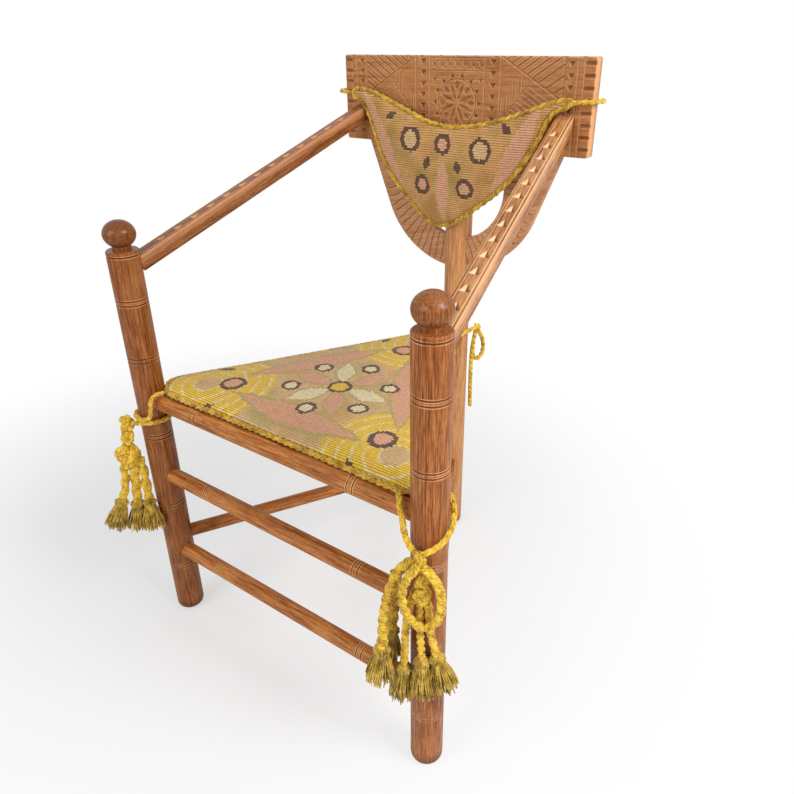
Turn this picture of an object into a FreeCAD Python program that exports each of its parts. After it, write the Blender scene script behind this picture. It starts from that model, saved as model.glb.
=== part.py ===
import FreeCAD, Part
import math
import os
import re
import Sketcher

# Corner chair of turned oak with a carved crest, sloping carved arms, and tied needlework cushions.
# Millimetres. The origin is the centre of the rear post's sole on the floor, +Z is up,
# the sitter faces -Y, and +X is to the right of someone looking at the chair's front.

V = FreeCAD.Vector
doc = FreeCAD.newDocument("CornerChair")
sheet = doc.addObject("Spreadsheet::Sheet", "Sizes")

# Sizes

SIZES = [
    # the three posts
    ("post_diameter", 46.0),
    ("post_spread", 262.1),
    ("post_reach", 481.5),
    ("post_rim_height", 663.4),
    ("post_foot_round", 12.0),
    ("post_rim_chamfer", 1.6),
    ("neck_diameter", 26.0),
    ("ball_diameter", 45.5),
    ("ball_height", 39.5),
    ("ball_centre_rise", 22.0),
    ("ring_depth", 1.4),
    ("ring_width", 2.4),
    ("rim_ring_drop", 7.0),
    ("ring_first_height", 106.0),
    ("ring_second_height", 236.0),
    ("ring_third_height", 369.0),
    ("ring_fourth_height", 501.6),
    ("ring_fifth_drop", 71.4),
    ("ring_pair_gap", 6.5),
    # joints in the wood
    ("joint_clearance", 0.1),
    ("tenon_bottom_clearance", 0.3),
    # seat rails
    ("seat_rail_diameter", 27.0),
    ("seat_rail_height", 427.0),
    ("seat_tenon_diameter", 14.0),
    ("seat_tenon_length", 9.5),
    ("rail_ring_offset", 150.0),
    ("rail_ring_gap", 9.0),
    ("rail_ring_depth", 1.1),
    # stretchers
    ("front_stretcher_diameter", 25.0),
    ("side_stretcher_diameter", 23.0),
    ("upper_stretcher_height", 288.5),
    ("lower_stretcher_height", 134.0),
    ("side_stretcher_height", 159.0),
    ("stretcher_tenon_diameter", 12.0),
    ("stretcher_tenon_length", 9.5),
    # seat board
    ("board_thickness", 9.0),
    ("board_rise", 4.5),
    ("board_edge_inset", 7.5),
    # crest board
    ("crest_length", 450.0),
    ("crest_thickness", 20.0),
    ("crest_bottom", 767.0),
    ("crest_height", 134.0),
    ("crest_corner_round", 4.0),
    ("crest_back", 0.0),
    ("rear_tenon_width", 34.0),
    ("rear_tenon_thickness", 12.0),
    ("rear_tenon_height", 40.0),
    # bracket under the crest
    ("bracket_thickness", 12.0),
    ("bracket_back", 2.0),
    ("bracket_outer_radius", 151.0),
    ("bracket_outer_centre", 715.5),
    ("bracket_inner_radius", 88.0),
    ("bracket_inner_centre", 705.0),
    ("bracket_reach", 182.0),
    ("bracket_tenon_thickness", 8.0),
    ("bracket_tenon_height", 38.0),
    ("bracket_tenon_length", 11.0),
    ("bracket_tenon_centre", 593.0),
    ("tongue_start", 74.0),
    ("tongue_end", 166.0),
    ("tongue_height", 10.0),
    # arms
    ("arm_width", 25.0),
    ("arm_height", 22.0),
    ("arm_front_spread", 262.1),
    ("arm_front_height", 633.0),
    ("arm_crest_spread", 186.2),
    ("arm_crest_height", 813.0),
    ("arm_tenon_side", 12.0),
    ("arm_tenon_length", 11.0),
    # soft pieces
    ("soft_gap", 0.3),
    ("edging_diameter", 9.0),
    ("seat_cushion_thickness", 18.0),
    ("seat_front_inset", 2.0),
    ("seat_corner_gap", 17.1),
    ("seat_side_inset", 6.1),
    ("seat_corner_depth", 12.5),
    ("seat_rear_half", 20.0),
    ("seat_rear_gap", 10.0),
    ("seat_edging_bend", 9.0),
    ("seat_pad_bend", 6.0),
    ("back_cushion_thickness", 21.0),
    ("back_edging_bend", 3.2),
    ("back_pad_bend", 5.0),
    ("back_tip_inset", 26.0),
    ("tie_diameter", 7.0),
    ("tail_diameter", 12.0),
    ("fine_tail_diameter", 8.0),
    ("loop_diameter", 9.0),
    ("tassel_length", 54.0),
    ("tassel_width", 26.0),
    ("tassel_head", 16.0),
    ("tassel_waist", 13.0),
]

for row, (alias, number) in enumerate(SIZES, start=1):
    sheet.set("A%d" % row, alias.replace("_", " "))
    sheet.set("B%d" % row, str(number))
    sheet.setAlias("B%d" % row, alias)
doc.recompute()

NAMES = {alias for alias, number in SIZES}


def full(text):
    return re.sub(r"[a-z][a-z_]*", lambda m: "Sizes." + m.group(0) if m.group(0) in NAMES else m.group(0), text)


def value(text):
    return float(sheet.evalExpression(full(text)))


def bind(thing, attribute, text):
    thing.setExpression(attribute, full(text))


# Sketches and bodies


def plane_of(body, role):
    return [item for item in body.Origin.OriginFeatures if item.Role == role][0]


def polygon_sketch(body, name, role, corners):
    """A closed outline whose corners are all held to the sheet."""
    sketch = body.newObject("Sketcher::SketchObject", name)
    sketch.AttachmentSupport = [(plane_of(body, role), "")]
    sketch.MapMode = "FlatFace"
    spots = [V(value(across), value(up), 0) for across, up in corners]
    for index, spot in enumerate(spots):
        sketch.addGeometry(Part.LineSegment(spot, spots[(index + 1) % len(spots)]), False)
    for index in range(len(spots)):
        sketch.addConstraint(Sketcher.Constraint("Coincident", index, 2, (index + 1) % len(spots), 1))
    for index, (across, up) in enumerate(corners):
        for kind, letter, text, size in (
            ("DistanceX", "x", across, spots[index].x),
            ("DistanceY", "y", up, spots[index].y),
        ):
            place = sketch.addConstraint(Sketcher.Constraint(kind, -1, 1, index, 1, size))
            title = "corner%d%s" % (index, letter)
            sketch.renameConstraint(place, title)
            if text != "0":
                bind(sketch, "Constraints." + title, text)
    return sketch


def turned_body(name, corners):
    """A body turned about its own Z axis from an outline of radius and height."""
    body = doc.addObject("PartDesign::Body", name)
    sketch = polygon_sketch(body, name + "_outline", "XZ_Plane", corners)
    turning = body.newObject("PartDesign::Revolution", name + "_turning")
    turning.Profile = (sketch, [""])
    turning.ReferenceAxis = (sketch, ["V_Axis"])
    turning.Angle = 360
    body.Tip = turning
    return body, turning


def padded_body(name, role, corners, thickness, reverse=False):
    """A body padded from an outline on one of its own planes."""
    body = doc.addObject("PartDesign::Body", name)
    sketch = polygon_sketch(body, name + "_outline", role, corners)
    pad = body.newObject("PartDesign::Pad", name + "_pad")
    pad.Profile = (sketch, [""])
    bind(pad, "Length", thickness)
    pad.Reversed = reverse
    body.Tip = pad
    return body, pad


def cylinder(name, radius, length, start, along):
    item = doc.addObject("Part::Cylinder", name)
    bind(item, "Radius", radius)
    bind(item, "Height", length)
    item.Placement = FreeCAD.Placement(start, FreeCAD.Rotation(V(0, 0, 1), along))
    return item


def box(name, sides, corner, turn=None):
    item = doc.addObject("Part::Box", name)
    for attribute, text in zip(("Length", "Width", "Height"), sides):
        bind(item, attribute, text)
    if turn is None:
        for axis, text in zip("xyz", corner):
            bind(item, "Placement.Base." + axis, text)
    else:
        item.Placement = FreeCAD.Placement(corner, turn)
    return item


def cut(name, base, tools):
    tool = tools[0]
    if len(tools) > 1:
        tool = doc.addObject("Part::MultiFuse", name + "_tools")
        tool.Shapes = tools
    item = doc.addObject("Part::Cut", name)
    item.Base = base
    item.Tool = tool
    return item


def fuse(name, shapes):
    item = doc.addObject("Part::MultiFuse", name)
    item.Shapes = shapes
    return item


nodes = []


def node(item, label):
    item.Label = label
    nodes.append(item)
    return item


# Places of the posts

spread = value("post_spread")
reach = value("post_reach")
side_run = math.hypot(spread, reach)
post_radius = value("post_diameter / 2")
FRONT_LEFT = V(-spread, -reach, 0)
FRONT_RIGHT = V(spread, -reach, 0)
REAR = V(0, 0, 0)


def notch(radius, depth, height):
    """Three corners of one turned ring line."""
    return [
        (radius, "%s - ring_width / 2" % height),
        ("%s - %s" % (radius, depth), height),
        (radius, "%s + ring_width / 2" % height),
    ]


# Front posts: foot, five pairs of ring lines, rim, neck and ball

front_outline = [("0", "0"), ("post_diameter / 2", "0")]
for ring in ("ring_first_height", "ring_second_height", "ring_third_height", "ring_fourth_height"):
    front_outline += notch("post_diameter / 2", "ring_depth", "%s - ring_pair_gap" % ring)
    front_outline += notch("post_diameter / 2", "ring_depth", ring)
front_outline += notch("post_diameter / 2", "ring_depth", "post_rim_height - ring_fifth_drop - ring_pair_gap")
front_outline += notch("post_diameter / 2", "ring_depth", "post_rim_height - ring_fifth_drop")
front_outline += notch("post_diameter / 2", "ring_depth", "post_rim_height - rim_ring_drop")
front_outline += [
    ("post_diameter / 2", "post_rim_height - post_rim_chamfer"),
    ("post_diameter / 2 - post_rim_chamfer", "post_rim_height"),
    ("neck_diameter / 2", "post_rim_height"),
    ("neck_diameter / 2", "post_rim_height + ball_centre_rise / 2"),
    ("0", "post_rim_height + ball_centre_rise / 2"),
]


def round_foot(body, base, name):
    """Rounds the edge of the sole."""
    doc.recompute()
    lowest = None
    for index, edge in enumerate(base.Shape.Edges, start=1):
        flat = edge.BoundBox.ZMax - edge.BoundBox.ZMin < 0.01 and abs(edge.BoundBox.ZMin) < 0.01
        if flat and isinstance(edge.Curve, Part.Circle):
            lowest = "Edge%d" % index
    rounding = body.newObject("PartDesign::Fillet", name)
    rounding.Base = (base, [lowest])
    bind(rounding, "Radius", "post_foot_round")
    body.Tip = rounding
    return rounding


def front_post(name):
    body, turning = turned_body(name, front_outline)
    rounding = round_foot(body, turning, name + "_foot")
    ball = body.newObject("PartDesign::AdditiveEllipsoid", name + "_ball")
    bind(ball, "Radius1", "ball_height / 2")
    bind(ball, "Radius2", "ball_diameter / 2")
    bind(ball, "Radius3", "ball_diameter / 2")
    bind(ball, "Placement.Base.z", "post_rim_height + ball_centre_rise")
    body.Tip = ball
    return body


left_turned = front_post("front_left_turned")
bind(left_turned, "Placement.Base.x", "-post_spread")
bind(left_turned, "Placement.Base.y", "-post_reach")
right_turned = front_post("front_right_turned")
bind(right_turned, "Placement.Base.x", "post_spread")
bind(right_turned, "Placement.Base.y", "-post_reach")

# Rear post: plain shaft to the underside of the crest, with a flat tenon

rear_outline = [
    ("0", "0"),
    ("post_diameter / 2", "0"),
    ("post_diameter / 2", "crest_bottom - post_rim_chamfer"),
    ("post_diameter / 2 - post_rim_chamfer", "crest_bottom"),
    ("0", "crest_bottom"),
]
rear_turned, rear_turning = turned_body("rear_turned", rear_outline)
round_foot(rear_turned, rear_turning, "rear_foot_rounding")
crest_middle = "crest_back - crest_thickness / 2"
rear_tenon = box(
    "rear_tenon",
    ("rear_tenon_width", "rear_tenon_thickness", "rear_tenon_height + 10"),
    ("-rear_tenon_width / 2", crest_middle + " - rear_tenon_thickness / 2", "crest_bottom - 10"),
)

# Rails and stretchers: turned bars, coped to the posts, with round tenons

sockets = {"front_left": [], "front_right": [], "rear": []}


def turned_bar(name, first, last, first_key, last_key, height, diameter, tenon, tenon_length, ringed):
    """A bar between two post axes. Its barrel is coped to the posts and tenoned into them."""
    across = last - first
    length = across.Length
    along = V(across.x / length, across.y / length, 0)
    run = "%.9f" % length
    if first_key == "front_left" and last_key == "front_right":
        run = "post_spread * 2"
    else:
        run = "sqrt(post_spread * post_spread + post_reach * post_reach)"
    radius = "%s / 2" % diameter
    inset = "sqrt(post_diameter * post_diameter - %s * %s) / 2 - 2" % (diameter, diameter)
    outline = [("0", inset), (radius, inset)]
    if ringed:
        for side in ("-", "+"):
            for pair in ("-", "+"):
                spot = "%s / 2 %s rail_ring_offset %s rail_ring_gap / 2" % (run, side, pair)
                outline += notch(radius, "rail_ring_depth", spot)
    outline += [(radius, "%s - (%s)" % (run, inset)), ("0", "%s - (%s)" % (run, inset))]
    body, turning = turned_body(name + "_barrel", outline)
    level = V(0, 0, value(height))
    body.Placement = FreeCAD.Placement(first + level, FreeCAD.Rotation(V(0, 0, 1), along))
    envelopes = []
    tenons = []
    for key, centre, inward in ((first_key, first, along), (last_key, last, along * -1)):
        envelopes.append(
            cylinder(
                "%s_cope_%s" % (name, key),
                "post_diameter / 2 + joint_clearance",
                diameter + " * 2",
                centre + level - V(0, 0, value(diameter)),
                V(0, 0, 1),
            )
        )
        tip = post_radius - value(tenon_length)
        tenons.append(
            cylinder(
                "%s_tenon_%s" % (name, key),
                tenon + " / 2",
                tenon_length + " + 6",
                centre + level + inward * tip,
                inward,
            )
        )
        sockets[key].append(
            cylinder(
                "%s_socket_%s" % (name, key),
                tenon + " / 2 + joint_clearance",
                tenon_length + " + 6",
                centre + level + inward * (tip - value("tenon_bottom_clearance")),
                inward,
            )
        )
    return body, envelopes, tenons


# Seat board, and the groove that it makes in the rails


def board_outline(inset):
    run = "sqrt(post_spread * post_spread + post_reach * post_reach)"
    half = "post_spread - (%s) * (%s + post_spread) / post_reach" % (inset, run)
    front = "-post_reach + (%s)" % inset
    back = "-(%s) * %s / post_spread" % (inset, run)
    return [("-(%s)" % half, front), (half, front), ("0", back)]


board_plain, board_pad = padded_body(
    "board_plain", "XY_Plane", board_outline("board_edge_inset"), "board_thickness"
)
bind(board_plain, "Placement.Base.z", "seat_rail_height + board_rise - board_thickness / 2")
board_corners = [
    cylinder("board_corner_%d" % index, "post_diameter / 2 + joint_clearance", "board_thickness * 3",
             centre + V(0, 0, value("seat_rail_height - board_thickness")), V(0, 0, 1))
    for index, centre in enumerate((FRONT_LEFT, FRONT_RIGHT, REAR))
]
groove, groove_pad = padded_body(
    "board_groove",
    "XY_Plane",
    board_outline("board_edge_inset - joint_clearance"),
    "board_thickness + 2 * joint_clearance",
)
bind(groove, "Placement.Base.z", "seat_rail_height + board_rise - board_thickness / 2 - joint_clearance")

# At the rear post the two side bars meet in a mitre on the chair's middle line

left_mitre = box("left_mitre", ("post_diameter * 2", "post_diameter * 4", "post_rim_height"),
                 ("-joint_clearance / 2", "-post_diameter * 3", "10"))
right_mitre = box("right_mitre", ("post_diameter * 2", "post_diameter * 4", "post_rim_height"),
                  ("-post_diameter * 2 + joint_clearance / 2", "-post_diameter * 3", "10"))

seat = ("seat_rail_height", "seat_rail_diameter", "seat_tenon_diameter", "seat_tenon_length")
barrel, copes, tenons = turned_bar("front_seat_rail", FRONT_LEFT, FRONT_RIGHT, "front_left", "front_right",
                                   *seat, True)
coped = cut("front_seat_rail_coped", barrel, copes + [groove])
front_seat_rail = node(fuse("front_seat_rail_whole", [coped] + tenons), "front_seat_rail")
front_rail_space = cylinder("front_rail_space", "seat_rail_diameter / 2 + joint_clearance", "post_spread * 2",
                            FRONT_LEFT + V(0, 0, value("seat_rail_height")), V(1, 0, 0))

for side, centre, mitre in (("left", FRONT_LEFT, left_mitre), ("right", FRONT_RIGHT, right_mitre)):
    barrel, copes, tenons = turned_bar(side + "_seat_rail", centre, REAR, "front_" + side, "rear", *seat, False)
    coped = cut(side + "_seat_rail_coped", barrel, copes + [groove, mitre, front_rail_space])
    node(fuse(side + "_seat_rail_whole", [coped] + tenons), side + "_seat_rail")

node(cut("seat_board_cut", board_plain, board_corners), "seat_board")

for level in ("upper", "lower"):
    barrel, copes, tenons = turned_bar(
        "front_%s_stretcher" % level, FRONT_LEFT, FRONT_RIGHT, "front_left", "front_right",
        level + "_stretcher_height", "front_stretcher_diameter",
        "stretcher_tenon_diameter", "stretcher_tenon_length", True)
    coped = cut("front_%s_stretcher_coped" % level, barrel, copes)
    node(fuse("front_%s_stretcher_whole" % level, [coped] + tenons), "front_%s_stretcher" % level)

for side, centre, mitre in (("left", FRONT_LEFT, left_mitre), ("right", FRONT_RIGHT, right_mitre)):
    barrel, copes, tenons = turned_bar(
        side + "_side_stretcher", centre, REAR, "front_" + side, "rear",
        "side_stretcher_height", "side_stretcher_diameter",
        "stretcher_tenon_diameter", "stretcher_tenon_length", False)
    coped = cut(side + "_side_stretcher_coped", barrel, copes + [mitre])
    node(fuse(side + "_side_stretcher_whole", [coped] + tenons), side + "_side_stretcher")

# Arms: square bars that rise from the front posts to the face of the crest

crest_face = value("crest_back - crest_thickness")
crest_slots = []
for side, sign in (("left", -1), ("right", 1)):
    low = V(sign * value("arm_front_spread"), -reach, value("arm_front_height"))
    high = V(sign * value("arm_crest_spread"), crest_face, value("arm_crest_height"))
    slope = high - low
    run = slope.Length
    forward = slope * (1 / run)
    level = V(-forward.y, forward.x, 0)
    level.normalize()
    upward = forward.cross(level)
    turn = FreeCAD.Rotation(forward, level, upward, "XYZ")
    width = value("arm_width")
    height = value("arm_height")
    key = "front_" + side
    bar = doc.addObject("Part::Box", side + "_arm_bar")
    bar.Length = run + width
    bind(bar, "Width", "arm_width")
    bind(bar, "Height", "arm_height")
    bar.Placement = FreeCAD.Placement(low - level * (width / 2) - upward * (height / 2), turn)
    cope = cylinder(side + "_arm_cope", "post_diameter / 2 + joint_clearance", "post_rim_height",
                    V(sign * spread, -reach, 200), V(0, 0, 1))
    behind = box(side + "_arm_behind", ("crest_length * 2", "arm_width * 8", "crest_bottom * 2"),
                 ("-crest_length", "crest_back - crest_thickness - joint_clearance", "0"))
    coped = cut(side + "_arm_coped", bar, [cope, behind])
    tenon = value("arm_tenon_side")
    deep = value("arm_tenon_length")
    clear = value("joint_clearance")
    spare = value("tenon_bottom_clearance")
    lean = math.hypot(forward.x, forward.y)
    foot = (post_radius - deep) / lean
    stubs = []
    for title, start, far in (("low", foot, foot + deep + 16), ("high", run - 14, run + deep)):
        stub = doc.addObject("Part::Box", "%s_arm_%s_tenon" % (side, title))
        stub.Length = far - start
        bind(stub, "Width", "arm_tenon_side")
        bind(stub, "Height", "arm_tenon_side")
        stub.Placement = FreeCAD.Placement(
            low + forward * start - level * (tenon / 2) - upward * (tenon / 2), turn)
        stubs.append(stub)
        slot = doc.addObject("Part::Box", "%s_arm_%s_mortise" % (side, title))
        slot.Length = far - start + spare
        bind(slot, "Width", "arm_tenon_side + 2 * joint_clearance")
        bind(slot, "Height", "arm_tenon_side + 2 * joint_clearance")
        back = spare if title == "low" else 0
        slot.Placement = FreeCAD.Placement(
            low + forward * (start - back) - level * (tenon / 2 + clear) - upward * (tenon / 2 + clear), turn)
        if title == "low":
            sockets[key].append(slot)
        else:
            crest_slots.append(slot)
    node(fuse(side + "_arm_whole", [coped] + stubs), side + "_arm")

# Brackets: two mirrored halves of a flared U, from the rear post to the underside of the crest

dx = "bracket_reach"
dz = "(crest_bottom - bracket_outer_centre)"
dd = "(%s * %s + %s * %s)" % (dx, dx, dz, dz)
rr = "bracket_outer_radius"
tangent = "sqrt(%s - %s * %s)" % (dd, rr, rr)
touch_x = "(%s * %s * %s + %s * %s * %s) / %s" % (rr, rr, dx, rr, tangent, dz, dd)
touch_z = "bracket_outer_centre + (%s * %s * %s - %s * %s * %s) / %s" % (rr, rr, dz, rr, tangent, dx, dd)
bracket_front = "bracket_back - bracket_thickness"
for side, sign in (("left", "-"), ("right", "")):
    mark = -1 if side == "left" else 1
    flare, flare_pad = padded_body(
        side + "_bracket_flare",
        "XZ_Plane",
        [("0", "bracket_outer_centre - bracket_outer_radius / 2"), ("0", "crest_bottom"),
         (sign + "bracket_reach", "crest_bottom"), (sign + "(" + touch_x + ")", touch_z)],
        "bracket_thickness",
    )
    bind(flare, "Placement.Base.y", "bracket_back")
    disc = cylinder(side + "_bracket_disc", "bracket_outer_radius", "bracket_thickness",
                    V(0, value(bracket_front), value("bracket_outer_centre")), V(0, 1, 0))
    hole = cylinder(side + "_bracket_hole", "bracket_inner_radius", "bracket_thickness * 3",
                    V(0, value(bracket_front + " - bracket_thickness"), value("bracket_inner_centre")),
                    V(0, 1, 0))
    shaft = cylinder(side + "_bracket_cope", "post_diameter / 2 + joint_clearance", "crest_bottom",
                     V(0, 0, 100), V(0, 0, 1))
    above = box(side + "_bracket_above", ("crest_length * 2", "bracket_thickness * 8", "crest_height * 2"),
                ("-crest_length", "-bracket_thickness * 4", "crest_bottom"))
    across = box(side + "_bracket_across", ("crest_length", "bracket_thickness * 8", "crest_bottom * 2"),
                 ("0" if side == "left" else "-crest_length", "-bracket_thickness * 4", "0"))
    plate = fuse(side + "_bracket_plate", [flare, disc])
    coped = cut(side + "_bracket_coped", plate, [hole, shaft, above, across])
    thick = "bracket_tenon_thickness"
    middle = "bracket_back - bracket_thickness / 2"
    inner = "post_diameter / 2 - bracket_tenon_length"
    tenon_start = inner if side == "right" else "-(%s) - bracket_tenon_length - 6" % inner
    tenon_box = box(side + "_bracket_tenon", ("bracket_tenon_length + 6", thick, "bracket_tenon_height"),
                    (tenon_start, middle + " - " + thick + " / 2",
                     "bracket_tenon_centre - bracket_tenon_height / 2"))
    socket_start = tenon_start + (" - tenon_bottom_clearance" if side == "right" else "")
    socket_box = box(side + "_bracket_socket",
                     ("bracket_tenon_length + 6 + tenon_bottom_clearance", thick + " + 2 * joint_clearance",
                      "bracket_tenon_height + 2 * joint_clearance"),
                     (socket_start, middle + " - " + thick + " / 2 - joint_clearance",
                      "bracket_tenon_centre - bracket_tenon_height / 2 - joint_clearance"))
    sockets["rear"].append(socket_box)
    tongue_middle = "(bracket_back - bracket_thickness + crest_back) / 2 - 1"
    tongue_left = "tongue_start" if side == "right" else "-tongue_end"
    tongue = box(side + "_bracket_tongue",
                 ("tongue_end - tongue_start", thick, "tongue_height + 5"),
                 (tongue_left, tongue_middle + " - " + thick + " / 2", "crest_bottom - 5"))
    slot = box(side + "_bracket_slot",
               ("tongue_end - tongue_start + 2 * joint_clearance", thick + " + 2 * joint_clearance",
                "tongue_height + 5 + tenon_bottom_clearance"),
               (tongue_left + " - joint_clearance", tongue_middle + " - " + thick + " / 2 - joint_clearance",
                "crest_bottom - 5"))
    crest_slots.append(slot)
    node(fuse(side + "_bracket_whole", [coped, tenon_box, tongue]), side + "_bracket")

# Crest board, with rounded ends and mortises for the post, the brackets and the arms

crest_plain, crest_pad = padded_body(
    "crest_plain",
    "XZ_Plane",
    [("-crest_length / 2", "crest_bottom"), ("crest_length / 2", "crest_bottom"),
     ("crest_length / 2", "crest_bottom + crest_height"), ("-crest_length / 2", "crest_bottom + crest_height")],
    "crest_thickness",
)
bind(crest_plain, "Placement.Base.y", "crest_back")
doc.recompute()
ends = []
for index, edge in enumerate(crest_pad.Shape.Edges, start=1):
    if edge.BoundBox.XLength < 0.01 and edge.BoundBox.ZLength < 0.01:
        ends.append("Edge%d" % index)
crest_round = crest_plain.newObject("PartDesign::Fillet", "crest_round")
crest_round.Base = (crest_pad, ends)
bind(crest_round, "Radius", "crest_corner_round")
crest_plain.Tip = crest_round
crest_slots.append(box(
    "crest_mortise",
    ("rear_tenon_width + 2 * joint_clearance", "rear_tenon_thickness + 2 * joint_clearance",
     "rear_tenon_height + 10 + tenon_bottom_clearance"),
    ("-rear_tenon_width / 2 - joint_clearance",
     crest_middle + " - rear_tenon_thickness / 2 - joint_clearance", "crest_bottom - 10"),
))
crest_board = node(cut("crest_board_cut", crest_plain, crest_slots), "crest_board")

node(cut("front_left_post_cut", left_turned, sockets["front_left"]), "front_left_post")
node(cut("front_right_post_cut", right_turned, sockets["front_right"]), "front_right_post")
rear_whole = fuse("rear_post_whole", [rear_turned, rear_tenon])
node(cut("rear_post_cut", rear_whole, sockets["rear"]), "rear_post")

# Cords: straight runs joined by tangent arcs


def corner_radius(before, point, after, closed_radius):
    into = point - before
    out = after - point
    turn = into.getAngle(out)
    if closed_radius is not None:
        return closed_radius, turn
    return 0.45 * min(into.Length, out.Length) / math.tan(turn / 2), turn


def route(points, closed=False, closed_radius=None):
    """Edges of a path through the points, with an arc at each corner."""
    count = len(points)
    corners = range(count) if closed else range(1, count - 1)
    cuts = {}
    radii = []
    for index in corners:
        before = points[index - 1]
        point = points[index]
        after = points[(index + 1) % count]
        radius, turn = corner_radius(before, point, after, closed_radius)
        back = radius * math.tan(turn / 2)
        start = point + (before - point) * (back / (before - point).Length)
        finish = point + (after - point) * (back / (after - point).Length)
        inward = (start + finish) * 0.5 - point
        inward.normalize()
        middle = point + inward * (radius / math.cos(turn / 2) - radius)
        cuts[index] = (start, middle, finish)
        radii.append(radius)
    edges = []
    spans = range(count) if closed else range(count - 1)
    for index in spans:
        following = (index + 1) % count
        start = cuts[index][2] if index in cuts else points[index]
        finish = cuts[following][0] if following in cuts else points[following]
        if (finish - start).Length > 0.01:
            edges.append(Part.LineSegment(start, finish).toShape())
        if following in cuts:
            edges.append(Part.Arc(*cuts[following]).toShape())
    return edges, radii


def tube(points, diameter, closed=False, closed_radius=None, title=""):
    edges, radii = route(points, closed, closed_radius)
    path = Part.Wire(edges)
    first = edges[0]
    start = first.Vertexes[0].Point if not closed else first.valueAt(first.FirstParameter)
    heading = first.tangentAt(first.FirstParameter)
    ring = Part.Wire(Part.Circle(start, heading, diameter / 2).toShape())
    solid = path.makePipeShell([ring], True, False)
    if solid.ShapeType != "Solid":
        solid = Part.Solid(solid.Shells[0])
    if solid.Volume < 0:
        solid.reverse()
    expected = math.pi * diameter * diameter / 4 * path.Length
    print("%s radii %s, volume %.4f of section times length" % (
        title, " ".join("%.1f" % radius for radius in radii), solid.Volume / expected))
    return solid


def cord_part(label, points, diameter, closed=False, closed_radius=None, trims=()):
    solid = tube(points, diameter, closed, closed_radius, label)
    item = doc.addObject("Part::Feature", label + "_cord")
    item.Shape = solid
    if trims:
        item = cut(label + "_trimmed", item, list(trims))
    return node(item, label)


def inset_outline(points, amount):
    """Moves every side of an anticlockwise outline inward."""
    lines = []
    count = len(points)
    for index in range(count):
        first = points[index]
        last = points[(index + 1) % count]
        along = last - first
        along.normalize()
        inward = V(-along.y, along.x, 0)
        lines.append((first + inward * amount, along))
    result = []
    for index in range(count):
        (one, way), (two, turn) = lines[index - 1], lines[index]
        cross = way.x * turn.y - way.y * turn.x
        gap = two - one
        reach_along = (gap.x * turn.y - gap.y * turn.x) / cross
        result.append(one + way * reach_along)
    return result


def cushion_shape(outline, bend, layers, lift):
    """A loft through rounded outlines, each scaled about the middle. lift places a flat point."""
    middle = V(0, 0, 0)
    for point in outline:
        middle += point * (1 / len(outline))
    wires = []
    for depth, scale in layers:
        points = [middle + (point - middle) * scale for point in outline]
        edges, radii = route(points, True, bend * scale)
        placed = []
        for edge in edges:
            spots = [lift(edge.valueAt(edge.FirstParameter), depth),
                     lift(edge.valueAt((edge.FirstParameter + edge.LastParameter) / 2), depth),
                     lift(edge.valueAt(edge.LastParameter), depth)]
            if isinstance(edge.Curve, Part.Line):
                placed.append(Part.LineSegment(spots[0], spots[2]).toShape())
            else:
                placed.append(Part.Arc(*spots).toShape())
        wires.append(Part.Wire(placed))
    return Part.makeLoft(wires, True, True)


# Seat cushion: a flat three-cornered pad with blunt corners, and a cord edging round it

edging = value("edging_diameter")
gap = value("soft_gap")
front = value("post_reach - seat_front_inset")
front_half = value("post_spread - post_diameter / 2 - seat_corner_gap")
side_half = value("post_spread - seat_side_inset")
side_start = value("post_reach - post_diameter / 2 - seat_corner_depth")
rear_half = value("seat_rear_half")
rear = value("post_diameter / 2 + seat_rear_gap")
seat_line = [
    V(-front_half, -front, 0), V(front_half, -front, 0), V(side_half, -side_start, 0),
    V(rear_half, -rear, 0), V(-rear_half, -rear, 0), V(-side_half, -side_start, 0),
]
seat_bottom = value("seat_rail_height + seat_rail_diameter / 2") + gap
edging_level = seat_bottom + edging / 2
thick = value("seat_cushion_thickness")
seat_layers = [
    (seat_bottom, 0.975),
    (seat_bottom + thick * 0.22, 0.998),
    (seat_bottom + thick * 0.5, 1.0),
    (seat_bottom + thick * 0.78, 0.96),
    (seat_bottom + thick, 0.72),
]
seat_pad = doc.addObject("Part::Feature", "seat_cushion_pad")
seat_pad.Shape = cushion_shape(inset_outline(seat_line, edging / 2 + gap), value("seat_pad_bend"), seat_layers,
                               lambda flat, depth: V(flat.x, flat.y, depth))
node(seat_pad, "seat_cushion")
cord_part("seat_edging", [point + V(0, 0, edging_level) for point in seat_line], edging, True,
          value("seat_edging_bend"))

# Back cushion: a three-cornered pad that hangs on the crest, with a sagging top edge. Its outlines are given
# across the chair and up from the crest's lower edge, and stretch with the crest

BACK_LINE = [
    (-22, -127), (2, -124), (49, -91), (101, -51), (147, 11), (169, 64), (196, 69), (199, 81),
    (158, 70), (111, 52), (43, 33), (-31, 30), (-110, 62), (-170, 83), (-199, 81),
    (-197, 69), (-171, 64), (-134, -35), (-92, -81), (-45, -120),
]
BACK_PAD_LINE = [
    (-22, -127), (2, -124), (49, -91), (101, -51), (147, 11), (174, 76), (111, 52), (43, 33),
    (-31, 30), (-110, 62), (-179, 86), (-134, -35), (-92, -81), (-45, -120),
]
half_crest = value("crest_length / 2")
crest_foot = value("crest_bottom")
stretch = (half_crest - value("back_tip_inset")) / max(across for across, up in BACK_LINE)
back_line = [V(across * stretch, crest_foot + up, 0) for across, up in BACK_LINE]
back_pad_line = [V(across * stretch, crest_foot + up, 0) for across, up in BACK_PAD_LINE]
back_face = -post_radius - gap
thick = value("back_cushion_thickness")
back_layers = [
    (back_face, 0.965),
    (back_face - thick * 0.25, 0.998),
    (back_face - thick * 0.55, 1.0),
    (back_face - thick * 0.82, 0.95),
    (back_face - thick, 0.72),
]
back_pad = doc.addObject("Part::Feature", "back_cushion_pad")
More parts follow.
